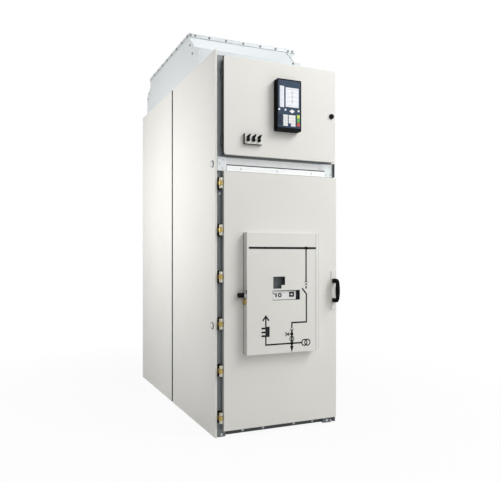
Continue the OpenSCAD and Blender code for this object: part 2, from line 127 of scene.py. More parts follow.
def standing(place: Sequence[float], facing: Facing) -> Matrix:
    """The placing of a turned form that stands on a surface at that place, with Z outward."""
    outward = Vector(facing.value).to_track_quat("Z", "Y")
    return Matrix.Translation(place) @ outward.to_matrix().to_4x4()


def scaled(profile: Profile, radius: float, height: float) -> list[Point]:
    """A turned profile that is given as shares of a radius and a height."""
    return [(radius * across, height * up) for across, up in profile]


def turn(count: int) -> list[float]:
    """Equal angles of one full turn."""
    return [2.0 * math.pi * i / count for i in range(count)]


def box_outline(left: float, low: float, right: float, high: float) -> list[Point]:
    """The corners of an upright rectangle."""
    return [(left, low), (right, low), (right, high), (left, high)]


@dataclass(frozen=True)
class FoldedEdge:
    """The rounded edge of a folded sheet, with its radius in millimetres.

    Corners closer than the corner gap, in metres, are joined before the edges between them are rounded.
    """

    radius: float
    segments: int = 3
    least_angle: float = 40.0
    corner_gap: float = 1e-5

    def apply(self, solid: bpy.types.Object) -> None:
        """Rounds the sharp edges of a node by modifiers, which leave its mesh as it is.

        Args:
            solid: The CAD node's object.
        """
        weld = solid.modifiers.new("joined_corners", "WELD")
        weld.merge_threshold = self.corner_gap
        bevel = solid.modifiers.new("folded_edges", "BEVEL")
        bevel.width = self.radius * MM
        bevel.segments = self.segments
        bevel.limit_method = "ANGLE"
        bevel.angle_limit = math.radians(self.least_angle)
        bevel.harden_normals = True


class Graph:
    """The node tree of one material, with short calls to add and join its nodes."""

    noise_middle: Point = (0.25, 0.75)

    def __init__(self, name: str) -> None:
        """Starts an empty material.

        Args:
            name: The material's name.
        """
        self.material = bpy.data.materials.new(name)
        self.material.use_nodes = True
        self.tree = self.material.node_tree
        self.tree.nodes.clear()
        self.place = self.add("ShaderNodeTexCoord").outputs["Object"]

    def add(self, kind: str, inputs: dict[Any, Any] | None = None, **settings: Any) -> bpy.types.Node:
        """Adds a node.

        Args:
            kind: Blender's name of the node type.
            inputs: Constants or output sockets for the node's inputs, by name or number.
            settings: Values of the node's own settings.

        Returns:
            The new node.
        """
        node = self.tree.nodes.new(kind)
        for key, value in settings.items():
            setattr(node, key, value)
        for key, value in (inputs or {}).items():
            if isinstance(value, Socket):
                self.tree.links.new(value, node.inputs[key])
            else:
                node.inputs[key].default_value = value
        return node

    def noise(self, scale: float, detail: float = 2.0) -> Socket:
        """A cloudy value from 0 to 1, with so many clouds to the metre."""
        made = self.add("ShaderNodeTexNoise", {"Vector": self.place, "Scale": scale, "Detail": detail})
        return made.outputs["Fac"]

    def cells(self, scale: float) -> Socket:
        """A random value for each crystal, with so many crystals to the metre."""
        made = self.add("ShaderNodeTexVoronoi", {"Vector": self.place, "Scale": scale})
        return self.add("ShaderNodeSeparateColor", {"Color": made.outputs["Color"]}).outputs[0]

    def spread(self, value: Socket, source: Point, result: Point) -> Socket:
        """Spreads the source range of a value over the range of the result."""
        limits = zip(("From Min", "From Max", "To Min", "To Max"), (*source, *result))
        return self.add("ShaderNodeMapRange", {"Value": value, **dict(limits)}).outputs["Result"]

    def between(self, value: Socket, low: float = 0.0, high: float = 1.0) -> Socket:
        """Spreads the middle of a cloudy value over the range from low to high."""
        return self.spread(value, self.noise_middle, (low, high))

    def tint(self, value: Socket, first: Colour, second: Colour) -> Socket:
        """A colour that goes from the first to the second with the value."""
        made = self.add("ShaderNodeMix", {0: value, 6: (*first, 1.0), 7: (*second, 1.0)}, data_type="RGBA")
        return made.outputs[2]

    def bump(self, height: Socket, strength: float, depth: float) -> Socket:
        """A surface normal from a height, for bumps of that depth in metres."""
        made = self.add("ShaderNodeBump", {"Height": height, "Strength": strength, "Distance": depth})
        return made.outputs["Normal"]

    def surface(self, inputs: dict[str, Any]) -> None:
        """Closes the tree with a surface that takes these inputs."""
        shader = self.add("ShaderNodeBsdfPrincipled", inputs)
        self.add("ShaderNodeOutputMaterial", {"Surface": shader.outputs["BSDF"]})


@dataclass(frozen=True)
class Finish(ABC):
    """A surface finish, which makes its material once.

    Scales count clouds, crystals or bumps to the metre, and depths are in metres.
    """

    name: str
    colour: Colour
    slot: Slot

    @abstractmethod
    def shade(self, graph: Graph) -> None:
        """Builds the finish in an empty material."""

    def material(self) -> bpy.types.Material:
        """Finds the finish's material.

        Returns:
            The material, which is made on first use.
        """
        found = bpy.data.materials.get(self.name)
        if found is None:
            graph = Graph(self.name)
            self.shade(graph)
            found = graph.material
        return found

    def shifted(self, share: float) -> Colour:
        """The finish's colour, lighter or darker by that share."""
        red, green, blue = (min(1.0, part * (1.0 + share)) for part in self.colour)
        return red, green, blue

    def clouded(self, graph: Graph, tone: Socket, share: float) -> Socket:
        """The finish's colour, which goes from darker to lighter by that share with the tone."""
        return graph.tint(tone, self.shifted(-share), self.shifted(share))

    def dress(self, *nodes: str, fold: float = 0.0) -> None:
        """Gives the finish to CAD nodes.

        Args:
            nodes: The nodes' names.
            fold: The radius of their folded edges, or nought where the edges stay as they are.
        """
        for name in nodes:
            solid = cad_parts[name]
            solid.data.materials.clear()
            solid.data.materials.append(self.material())
            if fold:
                FoldedEdge(fold).apply(solid)
            LOG.info("%s dressed in %s", name, self.name)


@dataclass(frozen=True)
class CoatedSheet(Finish):
    """Powder coat on steel sheet: a fine orange peel, with faint clouds of tone and gloss."""

    cloud: float = 0.02
    cloud_scale: float = 3.5
    gloss: Point = (0.40, 0.52)
    gloss_scale: float = 60.0
    peel_scale: float = 520.0
    peel_strength: float = 0.25
    peel_depth: float = 0.00012

    def shade(self, graph: Graph) -> None:
        """Builds the coat from clouds of tone, gloss and peel.

        Args:
            graph: The empty material.
        """
        tone = graph.between(graph.noise(self.cloud_scale, detail=4.0))
        peel = graph.noise(self.peel_scale, detail=1.0)
        graph.surface({
            "Base Color": self.clouded(graph, tone, self.cloud),
            "Roughness": graph.between(graph.noise(self.gloss_scale, detail=3.0), *self.gloss),
            "Normal": graph.bump(peel, self.peel_strength, self.peel_depth),
        })


@dataclass(frozen=True)
class ZincSheet(Finish):
    """Zinc-coated sheet with its spangle of crystals, each with a tone and gloss of its own."""

    spangle_scale: float = 70.0
    metal: float = 0.2
    gloss: Point = (0.44, 0.60)
    cloud: float = 0.03
    rolling_scale: float = 180.0
    rolling_strength: float = 0.12
    rolling_depth: float = 0.0002

    def shade(self, graph: Graph) -> None:
        """Builds the zinc from its crystals and a few rolling marks.

        Args:
            graph: The empty material.
        """
        crystal = graph.cells(self.spangle_scale)
        rolling = graph.noise(self.rolling_scale, detail=3.0)
        graph.surface({
            "Base Color": self.clouded(graph, crystal, self.cloud),
            "Metallic": self.metal,
            "Roughness": graph.between(crystal, *self.gloss),
            "Normal": graph.bump(rolling, self.rolling_strength, self.rolling_depth),
        })


@dataclass(frozen=True)
class Passivated(Finish):
    """Yellow passivated zinc or brass, with the bloom of colours that it shows."""

    bloom: Colour = (0.43, 0.34, 0.13)
    bloom_scale: float = 90.0
    metal: float = 0.55
    gloss: Point = (0.22, 0.38)
    gloss_scale: float = 240.0
    scratch_scale: float = 900.0
    scratch_strength: float = 0.1
    scratch_depth: float = 0.0001

    def shade(self, graph: Graph) -> None:
        """Builds the metal from its bloom and fine scratches.

        Args:
            graph: The empty material.
        """
        tone = graph.between(graph.noise(self.bloom_scale, detail=4.0))
        scratch = graph.noise(self.scratch_scale, detail=1.0)
        graph.surface({
            "Base Color": graph.tint(tone, self.colour, self.bloom),
            "Metallic": self.metal,
            "Roughness": graph.between(graph.noise(self.gloss_scale), *self.gloss),
            "Normal": graph.bump(scratch, self.scratch_strength, self.scratch_depth),
        })


@dataclass(frozen=True)
class Moulded(Finish):
    """Moulded plastic or rubber with a fine spark-eroded grain."""

    cloud: float = 0.06
    cloud_scale: float = 25.0
    gloss: Point = (0.38, 0.52)
    gloss_scale: float = 110.0
    shine: float = 0.2
    grain_scale: float = 1400.0
    grain_strength: float = 0.3
    grain_depth: float = 0.0001

    def shade(self, graph: Graph) -> None:
        """Builds the plastic from its grain and a slight change of tone.

        Args:
            graph: The empty material.
        """
        tone = graph.between(graph.noise(self.cloud_scale, detail=3.0))
        grain = graph.noise(self.grain_scale, detail=1.0)
        graph.surface({
            "Base Color": self.clouded(graph, tone, self.cloud),
            "Roughness": graph.between(graph.noise(self.gloss_scale), *self.gloss),
            "Specular IOR Level": self.shine,
            "Normal": graph.bump(grain, self.grain_strength, self.grain_depth),
        })


@dataclass(frozen=True)
class LitWindow(Finish):
    """A display under a clear window: a pale film that gives a little light of its own."""

    raster: float = 0.03
    raster_scale: float = 420.0
    gloss: Point = (0.12, 0.2)
    gloss_scale: float = 40.0
    light: Colour = (0.92, 0.95, 1.0)
    glow: float = 0.10

    def shade(self, graph: Graph) -> None:
        """Builds the film from a faint raster and its own light.

        Args:
            graph: The empty material.
        """
        tone = graph.between(graph.noise(self.raster_scale, detail=0.0))
        graph.surface({
            "Base Color": self.clouded(graph, tone, self.raster),
            "Roughness": graph.between(graph.noise(self.gloss_scale), *self.gloss),
            "Emission Color": (*self.light, 1.0),
            "Emission Strength": self.glow,
        })


SATIN = (0.42, 0.55)
FINE_SPANGLE = 300.0
INK_GRAIN = 600.0

PAINT = CoatedSheet("light_grey_coat", (0.74, 0.73, 0.69), Slot.PAINT)
# Dark frame paint, also used for pieces that paint shade: the caps' rims, the strip at the rail's right end and
# the low-voltage hinges.
FRAME_GREY = CoatedSheet("dark_frame_and_shade_coat", (0.085, 0.095, 0.10), Slot.FRAME_GREY, cloud=0.06, gloss=SATIN)
# A lighter copy of the post grey for the main door's shaded hinge side, also the grey of the painted shadow
# line beside the board: painted light.
PAINTED_LIGHT_GREY = CoatedSheet("painted_light_grey_coat", (0.44, 0.46, 0.47), Slot.FRAME_GREY, cloud=0.05, gloss=SATIN)
# Grey paint of the posts, also used for strips that paint shade under the low-voltage door and beside the
# board.
POST_GREY_AND_SHADE = CoatedSheet("grey_post_and_shade_coat", (0.225, 0.25, 0.26), Slot.FRAME_GREY, cloud=0.05, gloss=SATIN)
ZINC = ZincSheet("zinc_sheet", (0.50, 0.53, 0.54), Slot.GALVANISED)
PALE_ZINC = ZincSheet("pale_zinc_sheet", (0.66, 0.69, 0.70), Slot.GALVANISED)
BRIGHT_ZINC = ZincSheet("bright_zinc_strip", (0.80, 0.82, 0.82), Slot.GALVANISED)
DULL_ZINC = ZincSheet("dull_hinge_zinc", (0.55, 0.52, 0.42), Slot.GALVANISED, FINE_SPANGLE, metal=0.5)
SCREW_ZINC = ZincSheet("screw_zinc", (0.16, 0.17, 0.18), Slot.GALVANISED, FINE_SPANGLE, metal=0.6)
GREY_SCREW = ZincSheet("grey_screw_zinc", (0.40, 0.42, 0.43), Slot.GALVANISED, FINE_SPANGLE, metal=0.4)
PALE_SCREW = ZincSheet("pale_screw_zinc", (0.66, 0.68, 0.70), Slot.GALVANISED, FINE_SPANGLE, metal=0.7)
YELLOW_ZINC = Passivated("yellow_passivated_zinc", (0.45, 0.31, 0.07), Slot.YELLOW_ZINC)
BLACK = Moulded("black_moulding", (0.008, 0.008, 0.0085), Slot.BLACK_PLASTIC, gloss=(0.45, 0.58), shine=0.03)
# Black rubber of the door seal, also used for strips that paint shade: in the wall joints, in the rail's slit
# and along the hood's edge.
RUBBER_AND_SHADE = Moulded("black_rubber_and_shade", (0.016, 0.016, 0.017), Slot.SEAL_RUBBER, gloss=(0.6, 0.75))
WHITE = Moulded("white_moulding", (0.82, 0.82, 0.81), Slot.WHITE_PLASTIC, cloud=0.02)
KEY_WHITE = Moulded("white_key", (0.90, 0.90, 0.90), Slot.WHITE_PLASTIC, cloud=0.02)
INK = Moulded("printed_ink", (0.010, 0.010, 0.011), Slot.BLACK_PLASTIC, gloss=(0.45, 0.55),
              grain_scale=INK_GRAIN)
FAINT_INK = Moulded("faint_ink", (0.36, 0.35, 0.46), Slot.DISPLAY, grain_scale=INK_GRAIN)
RELAY_BLUE = Moulded("relay_blue_foil", (0.048, 0.072, 0.116), Slot.RELAY_BLUE, gloss=(0.34, 0.44), shine=0.1)
KEY_BLUE = Moulded("key_blue", (0.040, 0.075, 0.19), Slot.RELAY_BLUE)
KEY_DARK = Moulded("key_dark_blue", (0.012, 0.020, 0.040), Slot.RELAY_BLUE)
LIME = Moulded("lime_key", (0.62, 0.72, 0.16), Slot.WHITE_PLASTIC)
GREEN = Moulded("green_key", (0.14, 0.46, 0.12), Slot.WHITE_PLASTIC)
RED = Moulded("red_key", (0.60, 0.10, 0.09), Slot.WHITE_PLASTIC)
DISPLAY = LitWindow("display_film", (0.82, 0.83, 0.88), Slot.DISPLAY)


class Shaper:
    """Collects faces in millimetres and turns them into one piece that rides on a body."""

    disc_sides: int = 28
    ring_sides: int = 36
    corner_draw: float = 1.4
    least_mitre: float = 0.3

    def __init__(self, name: str, body: Body, finish: Finish) -> None:
        """Starts an empty mesh.

        Args:
            name: The piece's name.
            body: The body that it rides on.
            finish: Its finish.
        """
        self.name = name
        self.body = body
        self.finish = finish
        self.mesh = bmesh.new()

    def loop(self, places: Iterable[Sequence[float]]) -> Corners:
        """New corners at these places, in order."""
        return [self.mesh.verts.new(place) for place in places]

    def cap(self, ring: Corners) -> None:
        """Closes a ring of corners with one face."""
        self.mesh.faces.new(ring)

    def bridge(self, first: Corners, second: Corners) -> None:
        """Joins two closed rings with a band of faces.

        Args:
            first: The corners of the first ring.
            second: As many corners of the second ring.
        """
        count = len(first)
        for i in range(count):
            j = (i + 1) % count
            self.mesh.faces.new((first[i], first[j], second[j], second[i]))

    def plate(self, outline: Sequence[Point], back: float, front: float, chamfer: float = 0.0) -> None:
        """Adds a plate that faces the front.

        Args:
            outline: Its corners in X and Z.
            back: Y of its rear face.
            front: Y of its front face.
            chamfer: How far its front face draws in on all sides, for an outline that is convex.
        """
        steps = [(back, outline)]
        if chamfer:
            middle = Vector((sum(x for x, _ in outline), sum(z for _, z in outline))) / len(outline)
            draw = chamfer * self.corner_draw
            drawn = [Vector(spot) + (middle - Vector(spot)).normalized() * draw for spot in outline]
            steps.append((front + chamfer, outline))
            steps.append((front, drawn))
        else:
            steps.append((front, outline))
        rings = [self.loop((x, y, z) for x, z in corners) for y, corners in steps]
        for first, second in zip(rings, rings[1:]):
            self.bridge(first, second)
        self.cap(rings[-1])
        self.cap(rings[0][::-1])

    def sheet(self, corners: Sequence[Sequence[float]], thickness: float) -> None:
        """Adds a flat sheet.

        Args:
            corners: The corners of its outer face, in order against the clock.
            thickness: How thick it is, inward from that face.
        """
        outer = [Vector(corner) for corner in corners]
        inward = (outer[2] - outer[0]).cross(outer[1] - outer[0]).normalized() * thickness
        rings = [self.loop(outer), self.loop(corner + inward for corner in outer)]
        self.bridge(*rings)
        for ring in rings:
            self.cap(ring)

    def line(self, points: Sequence[Point], width: float, back: float, front: float) -> None:
        """Adds a line with mitred bends on a face to the front.

        Args:
            points: The points that it goes through, in X and Z.
            width: Its width.
            back: Y of its rear face.
            front: Y of its front face.
        """
        spots = [Vector(point) for point in points]
        left, right = [], []
        for i, spot in enumerate(spots):
            before = (spot - spots[i - 1]).normalized() if i else (spots[1] - spot).normalized()
            after = (spots[i + 1] - spot).normalized() if i + 1 < len(spots) else before
            normal = Vector((-before.y - after.y, before.x + after.x)).normalized()
            reach = 0.5 * width / max(self.least_mitre, normal.dot(Vector((-before.y, before.x))))
            left.append(tuple(spot + normal * reach))
            right.append(tuple(spot - normal * reach))
        self.plate(left + right[::-1], back, front)

    def disc(self, middle: Point, radius: float, back: float, front: float, chamfer: float = 0.0) -> None:
        """Adds a round plate that faces the front.

        Args:
            middle: Its middle in X and Z.
            radius: Its radius.
            back: Y of its rear face.
            front: Y of its front face.
            chamfer: How far its front face draws in.
        """
        x, z = middle
        outline = [(x + radius * math.cos(a), z + radius * math.sin(a)) for a in turn(self.disc_sides)]
        self.plate(outline, back, front, chamfer)

    def ring(self, middle: Point, outer: float, inner: float, back: float, front: float) -> None:
        """Adds a flat ring that faces the front.

        Args:
            middle: Its middle in X and Z.
            outer: Its outer radius.
            inner: Its inner radius.
            back: Y of its rear face.
            front: Y of its front face.
        """
        x, z = middle
        rings = [self.loop((x + r * math.cos(a), y, z + r * math.sin(a)) for a in turn(self.ring_sides))
                 for r, y in ((outer, back), (outer, front), (inner, front), (inner, back))]
        for first, second in zip(rings, rings[1:] + rings[:1]):
            self.bridge(first, second)

    def lathe(self, profile: Sequence[Point], placing: Matrix, sides: int = 24) -> Corners:
        """Turns a profile about the Z axis of a placing.

        Args:
            profile: Radius and height of each step, from the foot up.
            placing: Where the foot stands, with Z outward.
            sides: How many sides the turned form has.

        Returns:
            The corners of the last ring, which is left open.
        """
        rings = [self.loop(placing @ Vector((r * math.cos(a), r * math.sin(a), h)) for a in turn(sides))
                 for r, h in profile]
        for first, second in zip(rings, rings[1:]):
            self.bridge(first, second)
        return rings[-1]

    def piece(self, smooth: float = 35.0) -> bpy.types.Object:
        """Makes the object, dresses it and sets it on its body.

        Args:
            smooth: Edges flatter than this angle in degrees are shaded as round.

        Returns:
            The new object.
        """
        bmesh.ops.recalc_face_normals(self.mesh, faces=self.mesh.faces)
        data = bpy.data.meshes.new(self.name)
        self.mesh.transform(to_row())
        self.mesh.to_mesh(data)
        self.mesh.free()
        data.shade_smooth()
        data.set_sharp_from_angle(angle=math.radians(smooth))
        data.materials.append(self.finish.material())
        made = bpy.data.objects.new(self.name, data)
        bpy.context.scene.collection.objects.link(made)
        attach(made, self.body.value)
        LOG.info("%s rides on %s, %d faces", self.name, self.body.value, len(data.polygons))
        return made


@dataclass(frozen=True)
class Screw:
    """A screw head that stands on a surface, with its forms as shares of its radius and height."""

    head: Head = Head.CROSS
    radius: float = 5.0
    height: float = 3.0
    dome: Profile = ((1.0, 0.0), (1.0, 0.3), (0.92, 0.62), (0.74, 0.9), (0.58, 1.0))
    cross_arm: float = 0.46
    cross_half: float = 0.13
    pit_size: float = 0.8
    pit_height: float = 0.45
    washer: Profile = ((1.0, 0.0), (1.0, 0.25), (0.9, 0.32))
    hexagon: Profile = ((0.66, 0.3), (0.66, 0.88), (0.56, 1.0))
    hexagon_sides: int = 6

    def add(self, shaper: Shaper, place: Sequence[float], facing: Facing) -> None:
        """Adds the head to a piece.

        Args:
            shaper: The piece that the screw belongs to.
            place: The middle of the head's foot.
            facing: The way it looks.
        """
        placing = standing(place, facing)
        if self.head is Head.CROSS:
            self.add_dome(shaper, placing)
        else:
            self.add_hexagon(shaper, placing)

    def add_dome(self, shaper: Shaper, placing: Matrix) -> None:
        """Adds a domed head with a cross cut into it.

        Args:
            shaper: The piece that the screw belongs to.
            placing: Where the head's foot stands, with Z outward.
        """
        crown = shaper.lathe(scaled(self.dome, self.radius, self.height), placing)
        arm, half = self.cross_arm * self.radius, self.cross_half * self.radius
        quarter = ((arm, -half), (arm, half), (half, half))
        quarter_turns = ((1, 0), (0, 1), (-1, 0), (0, -1))
        corners = [(x * c - y * s, x * s + y * c) for c, s in quarter_turns for x, y in quarter]
        size, floor = self.pit_size, self.pit_height * self.height
        rim = shaper.loop(placing @ Vector((x, y, self.height)) for x, y in corners)
        pit = shaper.loop(placing @ Vector((size * x, size * y, floor)) for x, y in corners)
        count = len(crown)
        nearest = [round(math.atan2(y, x) / (2.0 * math.pi) * count) % count for x, y in corners]
        for i, start in enumerate(nearest):
            j = (i + 1) % len(corners)
            steps = (nearest[j] - start) % count
            shaper.cap([rim[j], rim[i], *(crown[(start + k) % count] for k in range(steps + 1))])
        shaper.bridge(rim, pit)
        shaper.cap(pit)

    def add_hexagon(self, shaper: Shaper, placing: Matrix) -> None:
        """Adds a hexagon with a chamfered top on a washer."""
        shaper.cap(shaper.lathe(scaled(self.washer, self.radius, self.height), placing))
        shaper.cap(shaper.lathe(scaled(self.hexagon, self.radius, self.height), placing, self.hexagon_sides))


@dataclass
class Enclosure:
    """Walls, posts and base of the cabinet, with the bolts of its base and posts."""

    wall_fold: float = 1.6
    frame_fold: float = 1.2
    inner_fold: float = 0.6
    bolt: Screw = Screw(Head.HEX, radius=7.0, height=6.0)
    base_bolt_z: float = 15.0
    post_bolts: tuple[float, ...] = (0.0, 735.0, 764.0)
    rail_bolts: tuple[float, ...] = (150.0, 289.0, 505.0, 641.0)
    strip_bolt: Point = (-12.0, 1425.0)
    end_width: float = 12.0
    end_heights: Point = (12.0, 36.0)
    end_depth: float = 24.0
    end_clear: float = 0.5
    end_chamfer: float = 0.6
    # A dark strip in the wall joints paints the shade in the gap between the sheets.
    joint_shade_thickness: float = 1.5
    joint_shade_clear: float = 0.6
    # Dark rims around the caps' feet, which paint the shade on the domes' front side.
    shade_rim_spread: float = 0.6
    shade_rim_height: float = 4.5
    shade_rim_lip: float = 1.8

    def build(self) -> None:
        """Dresses the cabinet's solids and adds its bolts, the end of its base rail, and the strips and rims
        that paint shade in the wall joints and around the caps.
        """
        PAINT.dress("left_end_wall_front", "left_end_wall_rear", "right_side_walls", "rear_walls",
                    fold=self.wall_fold)
        # The caps' white moulding also paints the bright side of each dome, and the dark rims around their feet
        # paint the shade on its front side.
        WHITE.dress("end_wall_caps")
        POST_GREY_AND_SHADE.dress("front_posts", "rear_posts", fold=self.frame_fold)
        FRAME_GREY.dress("middle_posts", "base_cross_rails", "base_side_rails", fold=self.frame_fold)
        ZINC.dress("floor_plate", "roof_plate", "lv_roof", "lv_floor", "lv_rear_wall", "lv_side_sheets",
                   fold=self.inner_fold)
        self.bolts()
        self.base_end()
        self.joint_shade()
        self.cap_shade_rims()

    def bolts(self) -> None:
        """Adds the bolts along the base rail, at the feet of the front posts and under the top hinge."""
        shaper = Shaper("base_bolts", Body.CABINET, PALE_SCREW)
        post_face = span("front_posts")[0].y
        rail_face = span("base_cross_rails")[0].y
        for face, places in ((post_face, self.post_bolts), (rail_face, self.rail_bolts)):
            for x in places:
                self.bolt.add(shaper, (x, face, self.base_bolt_z), Facing.FRONT)
        x, z = self.strip_bolt
        self.bolt.add(shaper, (x, post_face, z), Facing.FRONT)
        shaper.piece()

    def base_end(self) -> None:
        """Adds the dark end of the base rail in front of the right wall's foot."""
        shaper = Shaper("base_rail_end", Body.CABINET, FRAME_GREY)
        low, high = span("right_side_walls")
        right = high.x - self.end_clear
        foot, head = self.end_heights
        outline = box_outline(right - self.end_width, foot, right, head)
        shaper.plate(outline, low.y, low.y - self.end_depth, self.end_chamfer)
        shaper.piece()

    def joint_shade(self) -> None:
        """Lays a dark strip in the upright joint of both side walls: painted shade in the gap between the
        sheets.
        """
        shaper = Shaper("wall_joint_shade", Body.CABINET, RUBBER_AND_SHADE)
        low, high = span("left_end_wall_rear")
        right_low, right_high = span("right_side_walls")
        clear = self.joint_shade_clear
        for left, right, head in ((low.x, high.x, high.z), (right_low.x, right_high.x, right_high.z)):
            outline = box_outline(left + clear, low.z + clear, right - clear, head - clear)
            shaper.plate(outline, low.y, low.y - self.joint_shade_thickness)
        shaper.piece()

    def cap_shade_rims(self) -> None:
        """Adds a dark rim around the foot of both round caps: painted shade on the front side of each dome."""
        shaper = Shaper("cap_shade_rims", Body.CABINET, FRAME_GREY)
        low, high = span("end_wall_caps")
        radius = 0.5 * (high.y - low.y)
        outer = radius + self.shade_rim_spread
        lip = (radius - self.shade_rim_lip, self.shade_rim_height + self.shade_rim_spread)
        for z in (low.z + radius, high.z - radius):
            placing = standing((high.x, low.y + radius, z), Facing.LEFT)
            shaper.lathe([(outer, 0.0), (outer, self.shade_rim_height), lip], placing, shaper.ring_sides)
        shaper.piece()


@dataclass
class CrossRail:
    """The zinc-coated rail between the two doors, with the screws of its cover and brackets."""

    fold: float = 0.8
    strip_fold: float = 1.5
    # The slit over the cover is filled with a dark strip: painted shade.
    slit_height: float = 6.0
    slit_shadow_inset: float = 1.0
    # A dark strip under the low-voltage door paints the shadow of its lower edge on the rail.
    shadow_drop: float = 11.0
    shadow_height: float = 20.0
    shadow_thickness: float = 0.8
    ramp_length: float = 36.0
    ramp_sheet: float = 1.0
    strip_x: Point = (768.5, 774.0)
    strip_y: Point = (8.0, 11.0)
    strip_web: float = 1.5
    strip_chamfer: float = 0.3
    screw: Screw = Screw(radius=4.2, height=2.4)
    cover_screws: tuple[float, ...] = (119.0, 364.0, 607.0)
    bracket_screws: tuple[Point, ...] = ((-20.0, 1630.0), (2.0, 1622.0), (-18.0, 1598.0), (0.0, 1574.0),
                                         (715.0, 1574.0), (751.0, 1574.0), (743.0, 1620.0))

    def build(self) -> None:
        """Dresses the rail and adds its ramp, its screws, and the dark strips that paint shade in the slit,
        under the low-voltage door and at the rail's right end.
        """
        # The rail takes the bright zinc of its cover, paler than its brackets, which lifts the shadow of the
        # low-voltage door on it: painted light.
        BRIGHT_ZINC.dress("cross_rail", "cross_rail_cover", fold=self.fold)
        PALE_ZINC.dress("cross_rail_brackets", fold=self.fold)
        PALE_ZINC.dress("rail_end_strip", fold=self.strip_fold)
        self.slit_shadow()
        self.door_shadow()
        self.bracket_ramp()
        self.rail_end_shadow_strip()
        self.screws()

    def slit_shadow(self) -> None:
        """Fills the slit over the cover with a dark strip: painted shade in the slit."""
        shaper = Shaper("rail_slit_shadow", Body.CABINET, RUBBER_AND_SHADE)
        low, high = span("cross_rail_cover")
        outline = box_outline(low.x, high.z, high.x, high.z + self.slit_height)
        shaper.plate(outline, high.y, low.y + self.slit_shadow_inset)
        shaper.piece()

    def door_shadow(self) -> None:
        """Adds a dark strip on the rail just below the low-voltage door: painted shadow of the door's lower
        edge.
        """
        shaper = Shaper("rail_door_shadow", Body.CABINET, POST_GREY_AND_SHADE)
        low, high = span("cross_rail")
        foot = span("lv_door")[0].z - self.shadow_drop
        outline = box_outline(low.x, foot, high.x, foot + self.shadow_height)
        shaper.plate(outline, low.y, low.y - self.shadow_thickness)
        shaper.piece()

    def bracket_ramp(self) -> None:
        """Adds the sloped sheet from the rail to the face of the right bracket."""
        shaper = Shaper("bracket_ramp", Body.CABINET, BRIGHT_ZINC)
        low, high = span("cross_rail_brackets")
        cover = span("cross_rail_cover")[1]
        foot = cover.z + self.slit_height
        start = cover.x - self.ramp_length
        shaper.sheet([(start, high.y, foot), (cover.x, low.y, foot),
                      (cover.x, low.y, high.z), (start, high.y, high.z)], self.ramp_sheet)
        shaper.piece()

    def rail_end_shadow_strip(self) -> None:
        """Adds the dark strip at the rail's right end, on a web that stands on the CAD strip: painted shade at
        the right edge of the panel.
        """
        shaper = Shaper("rail_end_shadow_strip", Body.CABINET, FRAME_GREY)
        low, high = span("rail_end_strip")
        left, right = self.strip_x
        front, back = self.strip_y
        shaper.plate(box_outline(left, low.z, right, high.z), back, front, self.strip_chamfer)
        shaper.plate(box_outline(right - self.strip_web, low.z, right, high.z), low.y, back)
        shaper.piece()

    def screws(self) -> None:
        """Adds the screws along the cover and on both brackets."""
        shaper = Shaper("cross_rail_screws", Body.CABINET, GREY_SCREW)
        low, high = span("cross_rail_cover")
        for x in self.cover_screws:
            self.screw.add(shaper, (x, low.y, 0.5 * (low.z + high.z)), Facing.FRONT)
        face = span("cross_rail_brackets")[0].y
        for x, z in self.bracket_screws:
            self.screw.add(shaper, (x, face, z), Facing.FRONT)
        shaper.piece()


